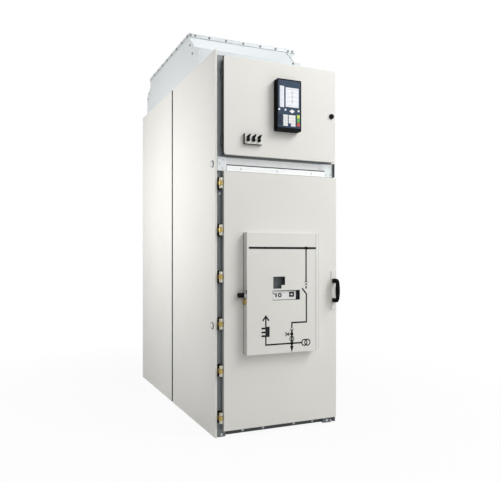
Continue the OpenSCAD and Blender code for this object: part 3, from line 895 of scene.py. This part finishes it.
@dataclass
class ReliefDuct:
    """The pressure relief duct on the roof, with the screws of its rim and cheeks."""

    fold: float = 0.8
    lid_sheet: float = 3.0
    hood_run: Point = (98.0, 104.0)
    gusset_share: float = 0.62
    gusset_clear: float = 1.0
    # The dark strip along the hood's right edge paints the shadow line of the step there.
    shade_strip_width: float = 3.0
    shade_strip_height: float = 0.4
    screw: Screw = Screw(Head.HEX, radius=8.0, height=4.5)
    front_screws: tuple[float, ...] = (-24.0, 9.0, 111.0, 235.0, 368.0, 500.0, 623.0, 725.0, 759.0)
    side_screws: int = 8
    side_start: float = 508.0
    side_pitch: float = 109.5
    cheek_screws: tuple[Point, ...] = ((466.0, 2459.0), (421.0, 2387.0), (1442.0, 2434.0), (1476.0, 2394.0))
    toe_screw: Point = (656.0, 2371.0)

    def build(self) -> None:
        """Dresses the duct and adds its gusset, the dark strip of painted shadow along the hood's edge, and its
        screws.
        """
        ZINC.dress("duct_front", "duct_lid", fold=self.fold)
        # The cheeks and the rear take a paler copy of the front's zinc, which lightens the sides that face
        # left: painted light.
        PALE_ZINC.dress("duct_cheeks", "duct_rear", fold=self.fold)
        self.gusset()
        self.hood_edge_shadow()
        self.screws()

    def hood_edge(self) -> tuple[Vector, Vector]:
        """Finds the hood's slope on the outer face of the right cheek.

        Returns:
            Its upper and its lower end.
        """
        lid = span("duct_lid")[0]
        right = span("duct_cheeks")[1].x
        top = Vector((right, lid.y + self.lid_sheet, lid.z))
        return top, top - Vector((0.0, *self.hood_run))

    def gusset(self) -> None:
        """Adds the sloped gusset under the lid's right overhang."""
        shaper = Shaper("duct_gusset", Body.CABINET, ZINC)
        top, foot = self.hood_edge()
        tip = Vector((span("duct_lid")[1].x - self.gusset_clear, top.y, top.z))
        shaper.sheet([top, top.lerp(foot, self.gusset_share), tip], self.lid_sheet)
        shaper.piece()

    def hood_edge_shadow(self) -> None:
        """Adds a dark strip along the right edge of the hood: painted shadow of the step at that edge."""
        shaper = Shaper("hood_edge_shadow", Body.CABINET, RUBBER_AND_SHADE)
        top, foot = self.hood_edge()
        rise = (foot - top).cross(Vector((1.0, 0.0, 0.0))).normalized() * self.shade_strip_height
        across = Vector((self.shade_strip_width, 0.0, 0.0))
        shaper.sheet([top - across + rise, foot - across + rise, foot + rise, top + rise], self.shade_strip_height)
        shaper.piece()

    def screws(self) -> None:
        """Adds the screws along the lid's rim, on the left cheek and on the toe of the front."""
        shaper = Shaper("duct_screws", Body.CABINET, SCREW_ZINC)
        low, high = span("duct_lid")
        rim_z = 0.5 * (low.z + high.z)
        for x in self.front_screws:
            self.screw.add(shaper, (x, low.y, rim_z), Facing.FRONT)
            self.screw.add(shaper, (x, high.y, rim_z), Facing.REAR)
        for i in range(self.side_screws):
            self.screw.add(shaper, (low.x, self.side_start + i * self.side_pitch, rim_z), Facing.LEFT)
        cheek = span("duct_cheeks")[0].x
        for y, z in self.cheek_screws:
            self.screw.add(shaper, (cheek, y, z), Facing.LEFT)
        x, z = self.toe_screw
        self.screw.add(shaper, (x, span("duct_front")[0].y, z), Facing.FRONT)
        shaper.piece()


@dataclass
class Hinges:
    """The hinges of both doors."""

    bed_fold: float = 0.5
    knuckle_fold: float = 1.0
    barrel: float = 19.0
    leaf_front: float = 2.0
    leaf_cover: float = 0.8

    def build(self) -> None:
        """Dresses beds and knuckles, and covers the leaves."""
        self.leaves()
        BLACK.dress("hinge_beds", fold=self.bed_fold)
        YELLOW_ZINC.dress("hinge_frame_knuckles")
        DULL_ZINC.dress("hinge_door_knuckles", fold=self.knuckle_fold)
        # The low-voltage hinges take the dark frame paint so that they sink into the shade of the gap: painted
        # shade.
        FRAME_GREY.dress("lv_hinge_frame_knuckles", "lv_hinge_door_knuckles")

    def leaves(self) -> None:
        """Covers the leaf of each door knuckle with a grey plate, from its barrel to the door."""
        shaper = Shaper("hinge_leaves", Body.MAIN_DOOR, POST_GREY_AND_SHADE)
        left = span("hinge_door_knuckles")[0].x + self.barrel
        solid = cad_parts["hinge_door_knuckles"]
        heights = sorted({round(corner.co.z / MM, 1) for corner in solid.data.vertices})
        for foot, head in zip(heights[::2], heights[1::2]):
            outline = box_outline(left, foot, 0.0, head)
            shaper.plate(outline, self.leaf_front, self.leaf_front - self.leaf_cover)
        shaper.piece()


@dataclass(frozen=True)
class EdgeStrip:
    """A strip along the hinge edge of a door."""

    name: str
    door: str
    body: Body
    finish: Finish
    depth: float
    height: float = 0.8
    inset: float = 2.5
    chamfer: float = 0.3

    def build(self) -> None:
        """Lays the strip on the door's left side."""
        shaper = Shaper(self.name, self.body, self.finish)
        low, high = span(self.door)
        inset = self.inset
        outline = box_outline(low.x - self.height, low.z + inset, low.x + inset, high.z - inset)
        shaper.plate(outline, low.y + self.depth, low.y + inset, self.chamfer)
        shaper.piece()


@dataclass
class MainDoor:
    """The main door with its handle and plugs."""

    fold: float = 2.0
    plate_fold: float = 0.8
    plugs: tuple[Point, ...] = ((677.0, 590.0), (687.0, 853.0))
    plug_radius: float = 6.0
    plug_height: float = 2.0
    plug_chamfer: float = 0.8
    strip_depth: float = 25.0
    feet: tuple[Point, ...] = ((770.0, 794.0), (890.0, 916.0))
    foot_x: Point = (746.0, 768.0)
    foot_depth: float = 34.0
    foot_chamfer: float = 3.0

    def build(self) -> None:
        """Dresses the door and its handle, and adds the plugs, the edge strip and the handle's feet."""
        PAINT.dress("main_door", fold=self.fold)
        PAINT.dress("handle_plate", fold=self.plate_fold)
        BLACK.dress("door_handle")
        self.door_plugs()
        # The strip on the hinge side takes a grey lighter than the posts, which lifts the shade on that side:
        # painted light.
        EdgeStrip("main_edge_strip", "main_door", Body.MAIN_DOOR, PAINTED_LIGHT_GREY, self.strip_depth).build()
        self.handle_feet()

    def door_plugs(self) -> None:
        """Adds the pale plugs beside the board."""
        shaper = Shaper("door_plugs", Body.MAIN_DOOR, WHITE)
        for spot in self.plugs:
            shaper.disc(spot, self.plug_radius, 0.0, -self.plug_height, self.plug_chamfer)
        shaper.piece()

    def handle_feet(self) -> None:
        """Adds the two square feet that hold the handle on its plate."""
        shaper = Shaper("handle_feet", Body.MAIN_DOOR, BLACK)
        plate = span("handle_plate")[0].y
        left, right = self.foot_x
        for low, high in self.feet:
            outline = box_outline(left, low, right, high)
            shaper.plate(outline, plate, plate - self.foot_depth, self.foot_chamfer)
        shaper.piece()


@dataclass
class MimicDiagram:
    """The diagram on the control board, with upright lines at the breaker, the cable and the arrester.

    Offsets in X count from the upright line that a symbol belongs to. Plugs and the arrow's head are open
    arrows, each with the height of its tip, the reach of its arms and how far they drop. The cable's end is a
    filled triangle, with the height of its upper side, half its width and its length.
    """

    ink_height: float = 0.6
    bus_width: float = 13.0
    line_width: float = 9.0
    fine_width: float = 5.0
    bus_z: float = 1108.0
    bus_ends: Point = (139.0, 598.0)
    node_radius: float = 10.5

    breaker_x: float = 528.0
    breaker_head: float = 906.0
    breaker_plugs: tuple[Place, ...] = ((910.0, 9.0, 10.0), (893.0, 7.0, 8.0))
    breaker_contact: Point = (879.0, 862.0)
    blade: tuple[Point, ...] = ((-28.0, 865.0), (2.0, 829.0), (2.0, 660.0))

    cable_x: float = 428.0
    cable_head: Point = (660.0, 626.0)
    cable_plug: Place = (612.0, 12.0, -11.0)
    cable_stem: Point = (614.0, 518.0)
    stem_width: float = 11.25
    indicator_z: float = 592.0
    indicator_radius: float = 10.0
    indicator_reach: float = 26.0
    fork: tuple[Point, Point] = ((-46.0, 11.0), (-20.0, -8.0))
    current_ring: Point = (563.0, 17.0)
    cable_end: Place = (520.0, 12.0, 38.0)

    foot_z: float = 536.0
    foot_end: float = 495.0
    coils: Point = (516.0, 537.0)
    coil_radius: float = 21.5
    coil_width: float = 6.75

    arrester_x: float = 251.0
    arrester_foot: float = 586.0
    arrester_block: Rectangle = (-3.0, 583.0, 25.0, 643.0)
    comb: tuple[float, ...] = (589.0, 611.0, 634.0)
    comb_reach: Point = (-29.0, -2.0)
    comb_width: float = 10.35
    arrow_stem: Point = (641.0, 699.0)
    arrow_head: Place = (705.0, 21.0, 27.0)

    ink: Point = field(init=False)

    def __post_init__(self) -> None:
        """Finds the back and the front of the ink on the board's face."""
        face = span("control_board")[0].y
        self.ink = (face, face - self.ink_height)

    def build(self) -> None:
        """Prints the three branches."""
        self.breaker_feeder()
        self.cable_branch()
        self.arrester_branch()

    def stroke(self, shaper: Shaper, *points: Point, width: float | None = None) -> None:
        """Adds a printed line."""
        shaper.line(points, width or self.line_width, *self.ink)

    def upright(self, shaper: Shaper, x: float, ends: Point, width: float | None = None) -> None:
        """Adds a printed upright line between two heights."""
        self.stroke(shaper, *((x, z) for z in ends), width=width)

    def dot(self, shaper: Shaper, middle: Point, radius: float) -> None:
        """Adds a printed dot."""
        shaper.disc(middle, radius, *self.ink)

    def chevron(self, shaper: Shaper, x: float, arrow: Place, width: float) -> None:
        """Adds a printed open arrow."""
        z, reach, drop = arrow
        self.stroke(shaper, (x - reach, z - drop), (x, z), (x + reach, z - drop), width=width)

    def breaker_feeder(self) -> None:
        """Prints the busbar, the withdrawable breaker and the line down to the cable."""
        shaper = Shaper("mimic_breaker", Body.MAIN_DOOR, INK)
        x = self.breaker_x
        self.stroke(shaper, *((end, self.bus_z) for end in self.bus_ends), width=self.bus_width)
        self.dot(shaper, (x, self.bus_z), self.node_radius)
        self.upright(shaper, x, (self.bus_z, self.breaker_head))
        for plug in self.breaker_plugs:
            self.chevron(shaper, x, plug, self.fine_width)
        self.upright(shaper, x, self.breaker_contact)
        self.stroke(shaper, *((x + offset, z) for offset, z in self.blade),
                    *((self.cable_x, z) for z in self.cable_head))
        shaper.piece()

    def cable_branch(self) -> None:
        """Prints the plug contact, voltage indicator, current ring, cable end and voltage transformer."""
        shaper = Shaper("mimic_cable", Body.MAIN_DOOR, INK)
        x, z = self.cable_x, self.indicator_z
        self.chevron(shaper, x, self.cable_plug, self.fine_width)
        self.upright(shaper, x, self.cable_stem, self.stem_width)
        self.dot(shaper, (x, z), self.indicator_radius)
        self.stroke(shaper, (x, z), (x - self.indicator_reach, z), width=self.fine_width)
        for side in (-1.0, 1.0):
            self.stroke(shaper, *((x + dx, z + dz * side) for dx, dz in self.fork), width=self.fine_width)
        ring_z, radius = self.current_ring
        shaper.ring((x, ring_z), radius, radius - self.fine_width, *self.ink)
        self.dot(shaper, (x, self.foot_z), self.node_radius)
        end_z, half, length = self.cable_end
        shaper.plate([(x - half, end_z), (x, end_z - length), (x + half, end_z)], *self.ink)
        self.stroke(shaper, (self.arrester_x, self.arrester_foot), (self.arrester_x, self.foot_z),
                    (self.foot_end, self.foot_z))
        inner = self.coil_radius - self.coil_width
        for middle in self.coils:
            shaper.ring((middle, self.foot_z), self.coil_radius, inner, *self.ink)
        shaper.piece()

    def arrester_branch(self) -> None:
        """Prints the arrester with its earth comb and the arrow over it."""
        shaper = Shaper("mimic_arrester", Body.MAIN_DOOR, INK)
        x = self.arrester_x
        left, low, right, high = self.arrester_block
        shaper.plate(box_outline(x + left, low, x + right, high), *self.ink)
        for z in self.comb:
            self.stroke(shaper, *((x + offset, z) for offset in self.comb_reach), width=self.comb_width)
        self.upright(shaper, x, self.arrow_stem)
        self.chevron(shaper, x, self.arrow_head, self.line_width)
        shaper.piece()


@dataclass
class PositionLabel:
    """The label in the board's slot, with its on and off marks and a square mark."""

    fold: float = 0.4
    tail: float = 13.0
    tail_sheet: float = 2.0
    ink_height: float = 0.4
    hook: tuple[Point, ...] = ((299.0, 838.0), (312.0, 838.0), (318.0, 830.0))
    hook_width: float = 4.0
    bar: Rectangle = (320.0, 815.0, 330.0, 837.0)
    ring_middle: Point = (351.0, 826.0)
    ring_radii: Point = (13.0, 5.5)
    square: Rectangle = (415.0, 814.0, 450.0, 844.0)
    square_border: float = 10.5

    def build(self) -> None:
        """Dresses the tray and the label, and adds the label's end and marks."""
        FRAME_GREY.dress("indicator_tray")
        WHITE.dress("indicator_label", fold=self.fold)
        self.end()
        self.marks()

    def end(self) -> None:
        """Adds the thin end of the label that stands free beside its square mark."""
        shaper = Shaper("label_end", Body.MAIN_DOOR, WHITE)
        low, high = span("indicator_label")
        outline = box_outline(high.x, low.z, high.x + self.tail, high.z)
        shaper.plate(outline, low.y + self.tail_sheet, low.y)
        shaper.piece()

    def marks(self) -> None:
        """Prints the on and off marks and the square mark."""
        shaper = Shaper("label_marks", Body.MAIN_DOOR, INK)
        face = span("indicator_label")[0].y
        ink = (face, face - self.ink_height)
        shaper.line(self.hook, self.hook_width, *ink)
        shaper.plate(box_outline(*self.bar), *ink)
        shaper.ring(self.ring_middle, *self.ring_radii, *ink)
        left, low, right, high = self.square
        border = self.square_border
        for side in ((left, low, right, low + border), (left, high - border, right, high),
                     (left, low + border, left + border, high - border),
                     (right - border, low + border, right, high - border)):
            shaper.plate(box_outline(*side), *ink)
        shaper.piece()


@dataclass
class ControlBoard:
    """The board on the main door: its tray, its lock, and the lines of painted shade along its edges, its label
    and mimic diagram.
    """

    mimic: MimicDiagram = field(default_factory=MimicDiagram)
    label: PositionLabel = field(default_factory=PositionLabel)
    fold: float = 2.0
    knob_fold: float = 2.0
    cylinder_fold: float = 1.2
    collar: Point = (12.0, 12.0)
    bezel: Point = (19.0, 5.0)
    collar_form: Profile = ((1.0, 0.0), (1.0, 0.7), (0.85, 1.0))
    keeper_screw: Screw = Screw(radius=5.5, height=2.5)
    keeper_screws: tuple[Point, ...] = ((-38.0, 846.0), (-38.0, 858.0))
    # Dark strip of painted shadow beside the board's left side, and the fine line of painted shade at its right
    # edge.
    shade_strip_width: float = 2.0
    shade_strip_height: float = 0.4
    edge_inset: float = 4.0
    edge_width: float = 2.0
    outer_offset: float = 44.0
    outer_width: float = 2.0

    def build(self) -> None:
        """Dresses the board and adds its print, label, lock, and the lines of painted shade along its edges."""
        PAINT.dress("control_board", fold=self.fold)
        BLACK.dress("board_lock_knob", fold=self.knob_fold)
        YELLOW_ZINC.dress("board_lock_cylinder", fold=self.cylinder_fold)
        self.mimic.build()
        self.label.build()
        self.turned_collar("lock_collar", "board_lock_knob", self.collar, KEY_WHITE)
        self.turned_collar("lock_bezel", "board_lock_cylinder", self.bezel, YELLOW_ZINC)
        self.keeper()
        self.shadow_lines()
        self.outer_shadow_line()

    def turned_collar(self, name: str, node: str, size: Point, finish: Finish) -> None:
        """Adds a turned collar between the board's left side and a lock.

        Args:
            name: The collar's name.
            node: The CAD node that it goes around.
            size: Its radius and length.
            finish: Its finish.
        """
        shaper = Shaper(name, Body.MAIN_DOOR, finish)
        low, high = span(node)
        placing = standing((high.x, 0.5 * (low.y + high.y), 0.5 * (low.z + high.z)), Facing.LEFT)
        shaper.cap(shaper.lathe(scaled(self.collar_form, *size), placing))
        shaper.piece()

    def keeper(self) -> None:
        """Adds the two dark screws of the lock's keeper to the board's left side."""
        shaper = Shaper("keeper_screws", Body.MAIN_DOOR, BLACK)
        side = span("control_board")[0].x
        for y, z in self.keeper_screws:
            self.keeper_screw.add(shaper, (side, y, z), Facing.LEFT)
        shaper.piece()

    def shadow_lines(self) -> None:
        """Adds a dark strip on the door along the board's left side, painted shadow, and the fine line at its
        right edge, painted shade where the face bends into its fold.
        """
        shaper = Shaper("board_shadow_lines", Body.MAIN_DOOR, POST_GREY_AND_SHADE)
        low, high = span("control_board")
        outline = box_outline(low.x - self.shade_strip_width, low.z, low.x, high.z)
        shaper.plate(outline, high.y, high.y - self.shade_strip_height)
        inset = self.edge_inset
        right = high.x - inset
        outline = box_outline(right - self.edge_width, low.z + inset, right, high.z - inset)
        shaper.plate(outline, *self.mimic.ink)
        shaper.piece()

    def outer_shadow_line(self) -> None:
        """Adds the faint line on the door beside the board's right edge: painted shadow along the edge of the
        board's rear flange.
        """
        shaper = Shaper("board_outer_shadow_line", Body.MAIN_DOOR, PAINTED_LIGHT_GREY)
        low, high = span("control_board")
        right = high.x + self.outer_offset
        outline = box_outline(right - self.outer_width, low.z, right, high.z)
        shaper.plate(outline, high.y, high.y - self.shade_strip_height)
        shaper.piece()


@dataclass
class RelayFront:
    """The protection relay in the low-voltage door: case, face, displays and keys."""

    case_fold: float = 2.5
    face_fold: float = 0.4
    key_height: float = 2.0
    key_chamfer: float = 0.8
    round_keys: tuple[float, ...] = (343.0, 386.0, 477.0)
    round_key_z: float = 1936.0
    round_key_radius: float = 6.5
    cursor_middle: Point = (432.0, 1930.0)
    cursor_reach: Point = (19.0, 12.0)
    pads: tuple[tuple[float, int], ...] = ((371.0, 2), (408.0, 3))
    pad_rows: int = 4
    pad_foot: float = 1840.0
    pad_pitch: Point = (16.0, 17.0)
    pad_key: Point = (15.0, 16.0)
    blue_key: tuple[int, int, int] = (1, 0, 0)
    dark_rows: int = 4
    dark_foot: Point = (342.0, 1846.0)
    dark_pitch: float = 16.0
    dark_key: Point = (17.0, 12.0)
    signal_x: float = 466.0
    signal_key: Point = (19.0, 21.0)
    signal_keys: tuple[tuple[str, Finish, float], ...] = (
        ("relay_lime_key", LIME, 1891.0), ("relay_green_key", GREEN, 1867.0), ("relay_red_key", RED, 1843.0))
    lamp_rows: int = 16
    lamp_heights: Point = (1957.0, 2071.0)
    lamp_x: float = 350.0
    lamp_radius: float = 2.0
    lamp_height: float = 0.5
    lamp_line: Point = (355.0, 368.0)
    lamp_line_width: float = 0.9
    screen: Rectangle = (388.0, 1959.0, 479.0, 2067.0)
    screen_ink: float = 0.3
    bar_inset: float = 6.0
    bar_width: float = 1.2
    feeder_inset: float = 14.0
    feeder_width: float = 1.6
    symbol_shares: tuple[float, ...] = (0.3, 0.55, 0.78)
    symbol_radii: Point = (6.0, 4.4)
    reading_inset: float = 10.0
    reading_gaps: Point = (14.0, 12.0)
    reading_drop: float = 5.0
    face: float = field(init=False)
    film: float = field(init=False)

    def __post_init__(self) -> None:
        """Finds the front of the relay's face and of its displays."""
        self.face = span("relay_face")[0].y
        self.film = span("relay_displays")[0].y

    def build(self) -> None:
        """Dresses the case and face, and adds the keys, lamps and screen lines."""
        BLACK.dress("relay_housing", fold=self.case_fold)
        RELAY_BLUE.dress("relay_face", fold=self.face_fold)
        DISPLAY.dress("relay_displays")
        self.pad_keys()
        self.dark_keys()
        self.coloured_keys()
        self.lamps()
        self.screen_lines()

    def key(self, shaper: Shaper, left: float, low: float, size: Point) -> None:
        """Adds a key with chamfered edges."""
        outline = box_outline(left, low, left + size[0], low + size[1])
        shaper.plate(outline, self.face, self.face - self.key_height, self.key_chamfer)

    def pad_keys(self) -> None:
        """Adds the white keys, which stand for the CAD node of all keys, and the blue one among them."""
        white = Shaper("relay_white_keys", Body.LV_DOOR, KEY_WHITE)
        blue = Shaper("relay_blue_keys", Body.LV_DOOR, KEY_BLUE)
        rise = (self.face, self.face - self.key_height, self.key_chamfer)
        for x in self.round_keys:
            white.disc((x, self.round_key_z), self.round_key_radius, *rise)
        x, z = self.cursor_middle
        across, up = self.cursor_reach
        white.plate([(x - across, z), (x, z - up), (x + across, z), (x, z + up)], *rise)
        pitch_x, pitch_z = self.pad_pitch
        for pad, (start, columns) in enumerate(self.pads):
            for column in range(columns):
                for row in range(self.pad_rows):
                    shaper = blue if (pad, column, row) == self.blue_key else white
                    low = self.pad_foot + pitch_z * row
                    self.key(shaper, start + pitch_x * column, low, self.pad_key)
        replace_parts(white.piece(), "relay_keys")
        blue.piece()

    def dark_keys(self) -> None:
        """Adds the column of dark keys at the left."""
        shaper = Shaper("relay_dark_keys", Body.LV_DOOR, KEY_DARK)
        left, foot = self.dark_foot
        for row in range(self.dark_rows):
            self.key(shaper, left, foot + self.dark_pitch * row, self.dark_key)
        shaper.piece()

    def coloured_keys(self) -> None:
        """Adds the lime, green and red key at the right."""
        for name, finish, z in self.signal_keys:
            shaper = Shaper(name, Body.LV_DOOR, finish)
            self.key(shaper, self.signal_x, z, self.signal_key)
            shaper.piece()

    def rule(self, shaper: Shaper, first: Point, last: Point, width: float) -> None:
        """Adds a thin straight line on a display."""
        shaper.line([first, last], width, self.film, self.film - self.screen_ink)

    def lamps(self) -> None:
        """Adds the column of signal lamps beside the screen, each with the line of its name."""
        shaper = Shaper("relay_lamps", Body.LV_DOOR, FAINT_INK)
        low, high = self.lamp_heights
        left, right = self.lamp_line
        for row in range(self.lamp_rows):
            z = low + (high - low) * row / (self.lamp_rows - 1)
            shaper.disc((self.lamp_x, z), self.lamp_radius, self.film, self.film - self.lamp_height)
            self.rule(shaper, (left, z), (right, z), self.lamp_line_width)
        shaper.piece()

    def screen_lines(self) -> None:
        """Adds the diagram and readings on the screen, as plain lines."""
        shaper = Shaper("relay_screen_lines", Body.LV_DOOR, FAINT_INK)
        left, low, right, high = self.screen
        middle = 0.5 * (left + right)
        inset, edge = self.bar_inset, self.reading_inset
        for z in (low + inset, high - inset):
            self.rule(shaper, (left + inset, z), (right - inset, z), self.bar_width)
        feeder = self.feeder_inset
        self.rule(shaper, (middle, low + feeder), (middle, high - feeder), self.feeder_width)
        before, after = self.reading_gaps
        for share in self.symbol_shares:
            z = low + share * (high - low)
            shaper.ring((middle, z), *self.symbol_radii, self.film, self.film - self.screen_ink)
            self.rule(shaper, (middle + after, z), (right - edge, z), self.bar_width)
            under = z - self.reading_drop
            self.rule(shaper, (left + edge, under), (middle - before, under), self.bar_width)
        shaper.piece()


@dataclass
class LowVoltageDoor:
    """The low-voltage door with its seal, lock, relay and switches."""

    relay: RelayFront = field(default_factory=RelayFront)
    fold: float = 1.8
    seal_fold: float = 1.0
    fitting_fold: float = 0.8
    lever_fold: float = 2.5
    strip_depth: float = 14.0
    plate_margin: float = 0.5
    plate_foot: float = 1.0
    plate_thickness: float = 1.0
    plate_chamfer: float = 0.4

    def build(self) -> None:
        """Dresses the door and what it carries."""
        PAINT.dress("lv_door", fold=self.fold)
        RUBBER_AND_SHADE.dress("lv_door_seal", fold=self.seal_fold)
        BLACK.dress("lv_lock", "switch_block", fold=self.fitting_fold)
        BLACK.dress("switch_levers", fold=self.lever_fold)
        self.switch_plate()
        EdgeStrip("lv_edge_seal", "lv_door", Body.LV_DOOR, RUBBER_AND_SHADE, self.strip_depth).build()
        self.relay.build()

    def switch_plate(self) -> None:
        """Adds the pale face plate of the switch block."""
        shaper = Shaper("switch_face_plate", Body.LV_DOOR, PAINT)
        low, high = span("switch_block")
        margin = self.plate_margin
        outline = box_outline(low.x + margin, low.z + self.plate_foot, high.x - margin, high.z - margin)
        shaper.plate(outline, low.y, low.y - self.plate_thickness, self.plate_chamfer)
        shaper.piece()


@dataclass(frozen=True)
class Softbox:
    """A large soft lamp."""

    name: str
    place: Place
    target: Place
    size: Point
    power: float

    def build(self) -> None:
        """Hangs the lamp and aims it."""
        data = bpy.data.lights.new(self.name, "AREA")
        data.shape = "RECTANGLE"
        data.size, data.size_y = self.size
        data.energy = self.power
        lamp = bpy.data.objects.new(self.name, data)
        lamp.location = self.place
        aim = Vector(self.target) - Vector(self.place)
        lamp.rotation_euler = aim.to_track_quat("-Z", "Y").to_euler()
        bpy.context.scene.collection.objects.link(lamp)


@dataclass
class Studio:
    """Floor, background, lamps and camera, in metres of the row frame."""

    ambient: float = 0.21
    floor_size: float = 24.0
    floor_grey: float = 0.6
    shadow_fade: Point = (0.9, 2.6)
    floor_white: Point = (0.93, 1.0)
    sensor: float = 36.0
    lens: float = 36.17
    camera_place: Place = (-1.5760, -3.4240, 1.0641)
    camera_turn: float = -20.326
    camera_shift: Point = (0.127, 0.0287)
    lamps: tuple[Softbox, ...] = (
        Softbox("right_softbox", (3.6, -3.6, 5.7), (0.0, -0.77, 1.5), (3.2, 2.5), 305.0),
        Softbox("front_softbox", (0.2, -4.8, 3.6), (0.1, -0.77, 1.4), (2.2, 1.8), 43.0),
        Softbox("side_softbox", (2.3, -2.5, 1.4), (0.3, -0.77, 1.3), (0.8, 1.2), 12.0),
        Softbox("top_softbox", (0.2, -0.5, 4.7), (0.0, -0.3, 2.4), (1.6, 1.2), 25.0),
        Softbox("left_softbox", (-1.95, 0.16, 1.58), (-0.41, 0.16, 1.56), (1.2, 1.0), 29.0),
    )

    def build(self) -> None:
        """Sets the stage."""
        bpy.context.scene.view_settings.view_transform = "Standard"
        self.floor()
        self.background()
        for lamp in self.lamps:
            lamp.build()
        self.camera()

    def seen(self, tree: bpy.types.NodeTree) -> Socket:
        """Tells the rays that see the white background from those that light the panel.

        Args:
            tree: The node tree that needs it.

        Returns:
            One for rays from the camera, from gloss and through clear pieces, and nought for all others.
        """
        path = tree.nodes.new("ShaderNodeLightPath")
        total = path.outputs["Is Camera Ray"]
        for name in ("Is Glossy Ray", "Is Transmission Ray"):
            most = tree.nodes.new("ShaderNodeMath")
            most.operation = "MAXIMUM"
            tree.links.new(total, most.inputs[0])
            tree.links.new(path.outputs[name], most.inputs[1])
            total = most.outputs[0]
        return total

    def background(self) -> None:
        """Makes the world white where it is seen, and a soft grey light elsewhere."""
        world = bpy.data.worlds.new("studio")
        world.use_nodes = True
        tree = world.node_tree
        tree.nodes.clear()
        mix = tree.nodes.new("ShaderNodeMixShader")
        tree.links.new(self.seen(tree), mix.inputs[0])
        for number, strength in enumerate((self.ambient, 1.0), start=1):
            shade = tree.nodes.new("ShaderNodeBackground")
            shade.inputs["Color"].default_value = (1.0, 1.0, 1.0, 1.0)
            shade.inputs["Strength"].default_value = strength
            tree.links.new(shade.outputs[0], mix.inputs[number])
        out = tree.nodes.new("ShaderNodeOutputWorld")
        tree.links.new(mix.outputs[0], out.inputs["Surface"])
        bpy.context.scene.world = world

    def floor(self) -> None:
        """Lays a pale floor that keeps the panel's shadow and turns white away from it."""
        half = 0.5 * self.floor_size
        data = bpy.data.meshes.new("studio_floor")
        corners = [(x, y, 0.0) for x, y in box_outline(-half, -half, half, half)]
        data.from_pydata(corners, [], [range(len(corners))])
        floor = bpy.data.objects.new("studio_floor", data)
        bpy.context.scene.collection.objects.link(floor)
        data.materials.append(self.floor_material())

    def floor_material(self) -> bpy.types.Material:
        """Makes the floor's material.

        Returns:
            A matt grey under a white that is only seen, which grows with the distance from the panel.
        """
        graph = Graph("pale_floor")
        away = graph.add("ShaderNodeVectorMath", {0: graph.place}, operation="LENGTH").outputs["Value"]
        clear = graph.spread(away, self.shadow_fade, self.floor_white)
        seen = self.seen(graph.tree)
        share = graph.add("ShaderNodeMath", {0: clear, 1: seen}, operation="MULTIPLY").outputs[0]
        grey = self.floor_grey
        matt = graph.add("ShaderNodeBsdfDiffuse", {"Color": (grey, grey, grey, 1.0)}).outputs[0]
        white = graph.add("ShaderNodeEmission", {"Color": (1.0, 1.0, 1.0, 1.0), "Strength": 1.0}).outputs[0]
        mix = graph.add("ShaderNodeMixShader", {0: share, 1: matt, 2: white}).outputs[0]
        graph.add("ShaderNodeOutputMaterial", {"Surface": mix})
        return graph.material

    def camera(self) -> None:
        """Sets the camera where the photograph was taken from."""
        data = bpy.data.cameras.new("camera")
        data.sensor_width = self.sensor
        data.lens = self.lens
        data.shift_x, data.shift_y = self.camera_shift
        camera = bpy.data.objects.new("camera", data)
        camera.location = self.camera_place
        camera.rotation_euler = (math.radians(90.0), 0.0, math.radians(self.camera_turn))
        bpy.context.scene.collection.objects.link(camera)
        bpy.context.scene.camera = camera


def main() -> None:
    """Builds the sub-assemblies in order, then the studio."""
    logging.basicConfig(level=logging.INFO, format="%(name)s: %(message)s")
    for assembly in (Enclosure(), CrossRail(), ReliefDuct(), Hinges(), MainDoor(), ControlBoard(),
                     LowVoltageDoor(), Studio()):
        assembly.build()
        LOG.info("%s is done", type(assembly).__name__)


if __name__ == "__main__":
    main()
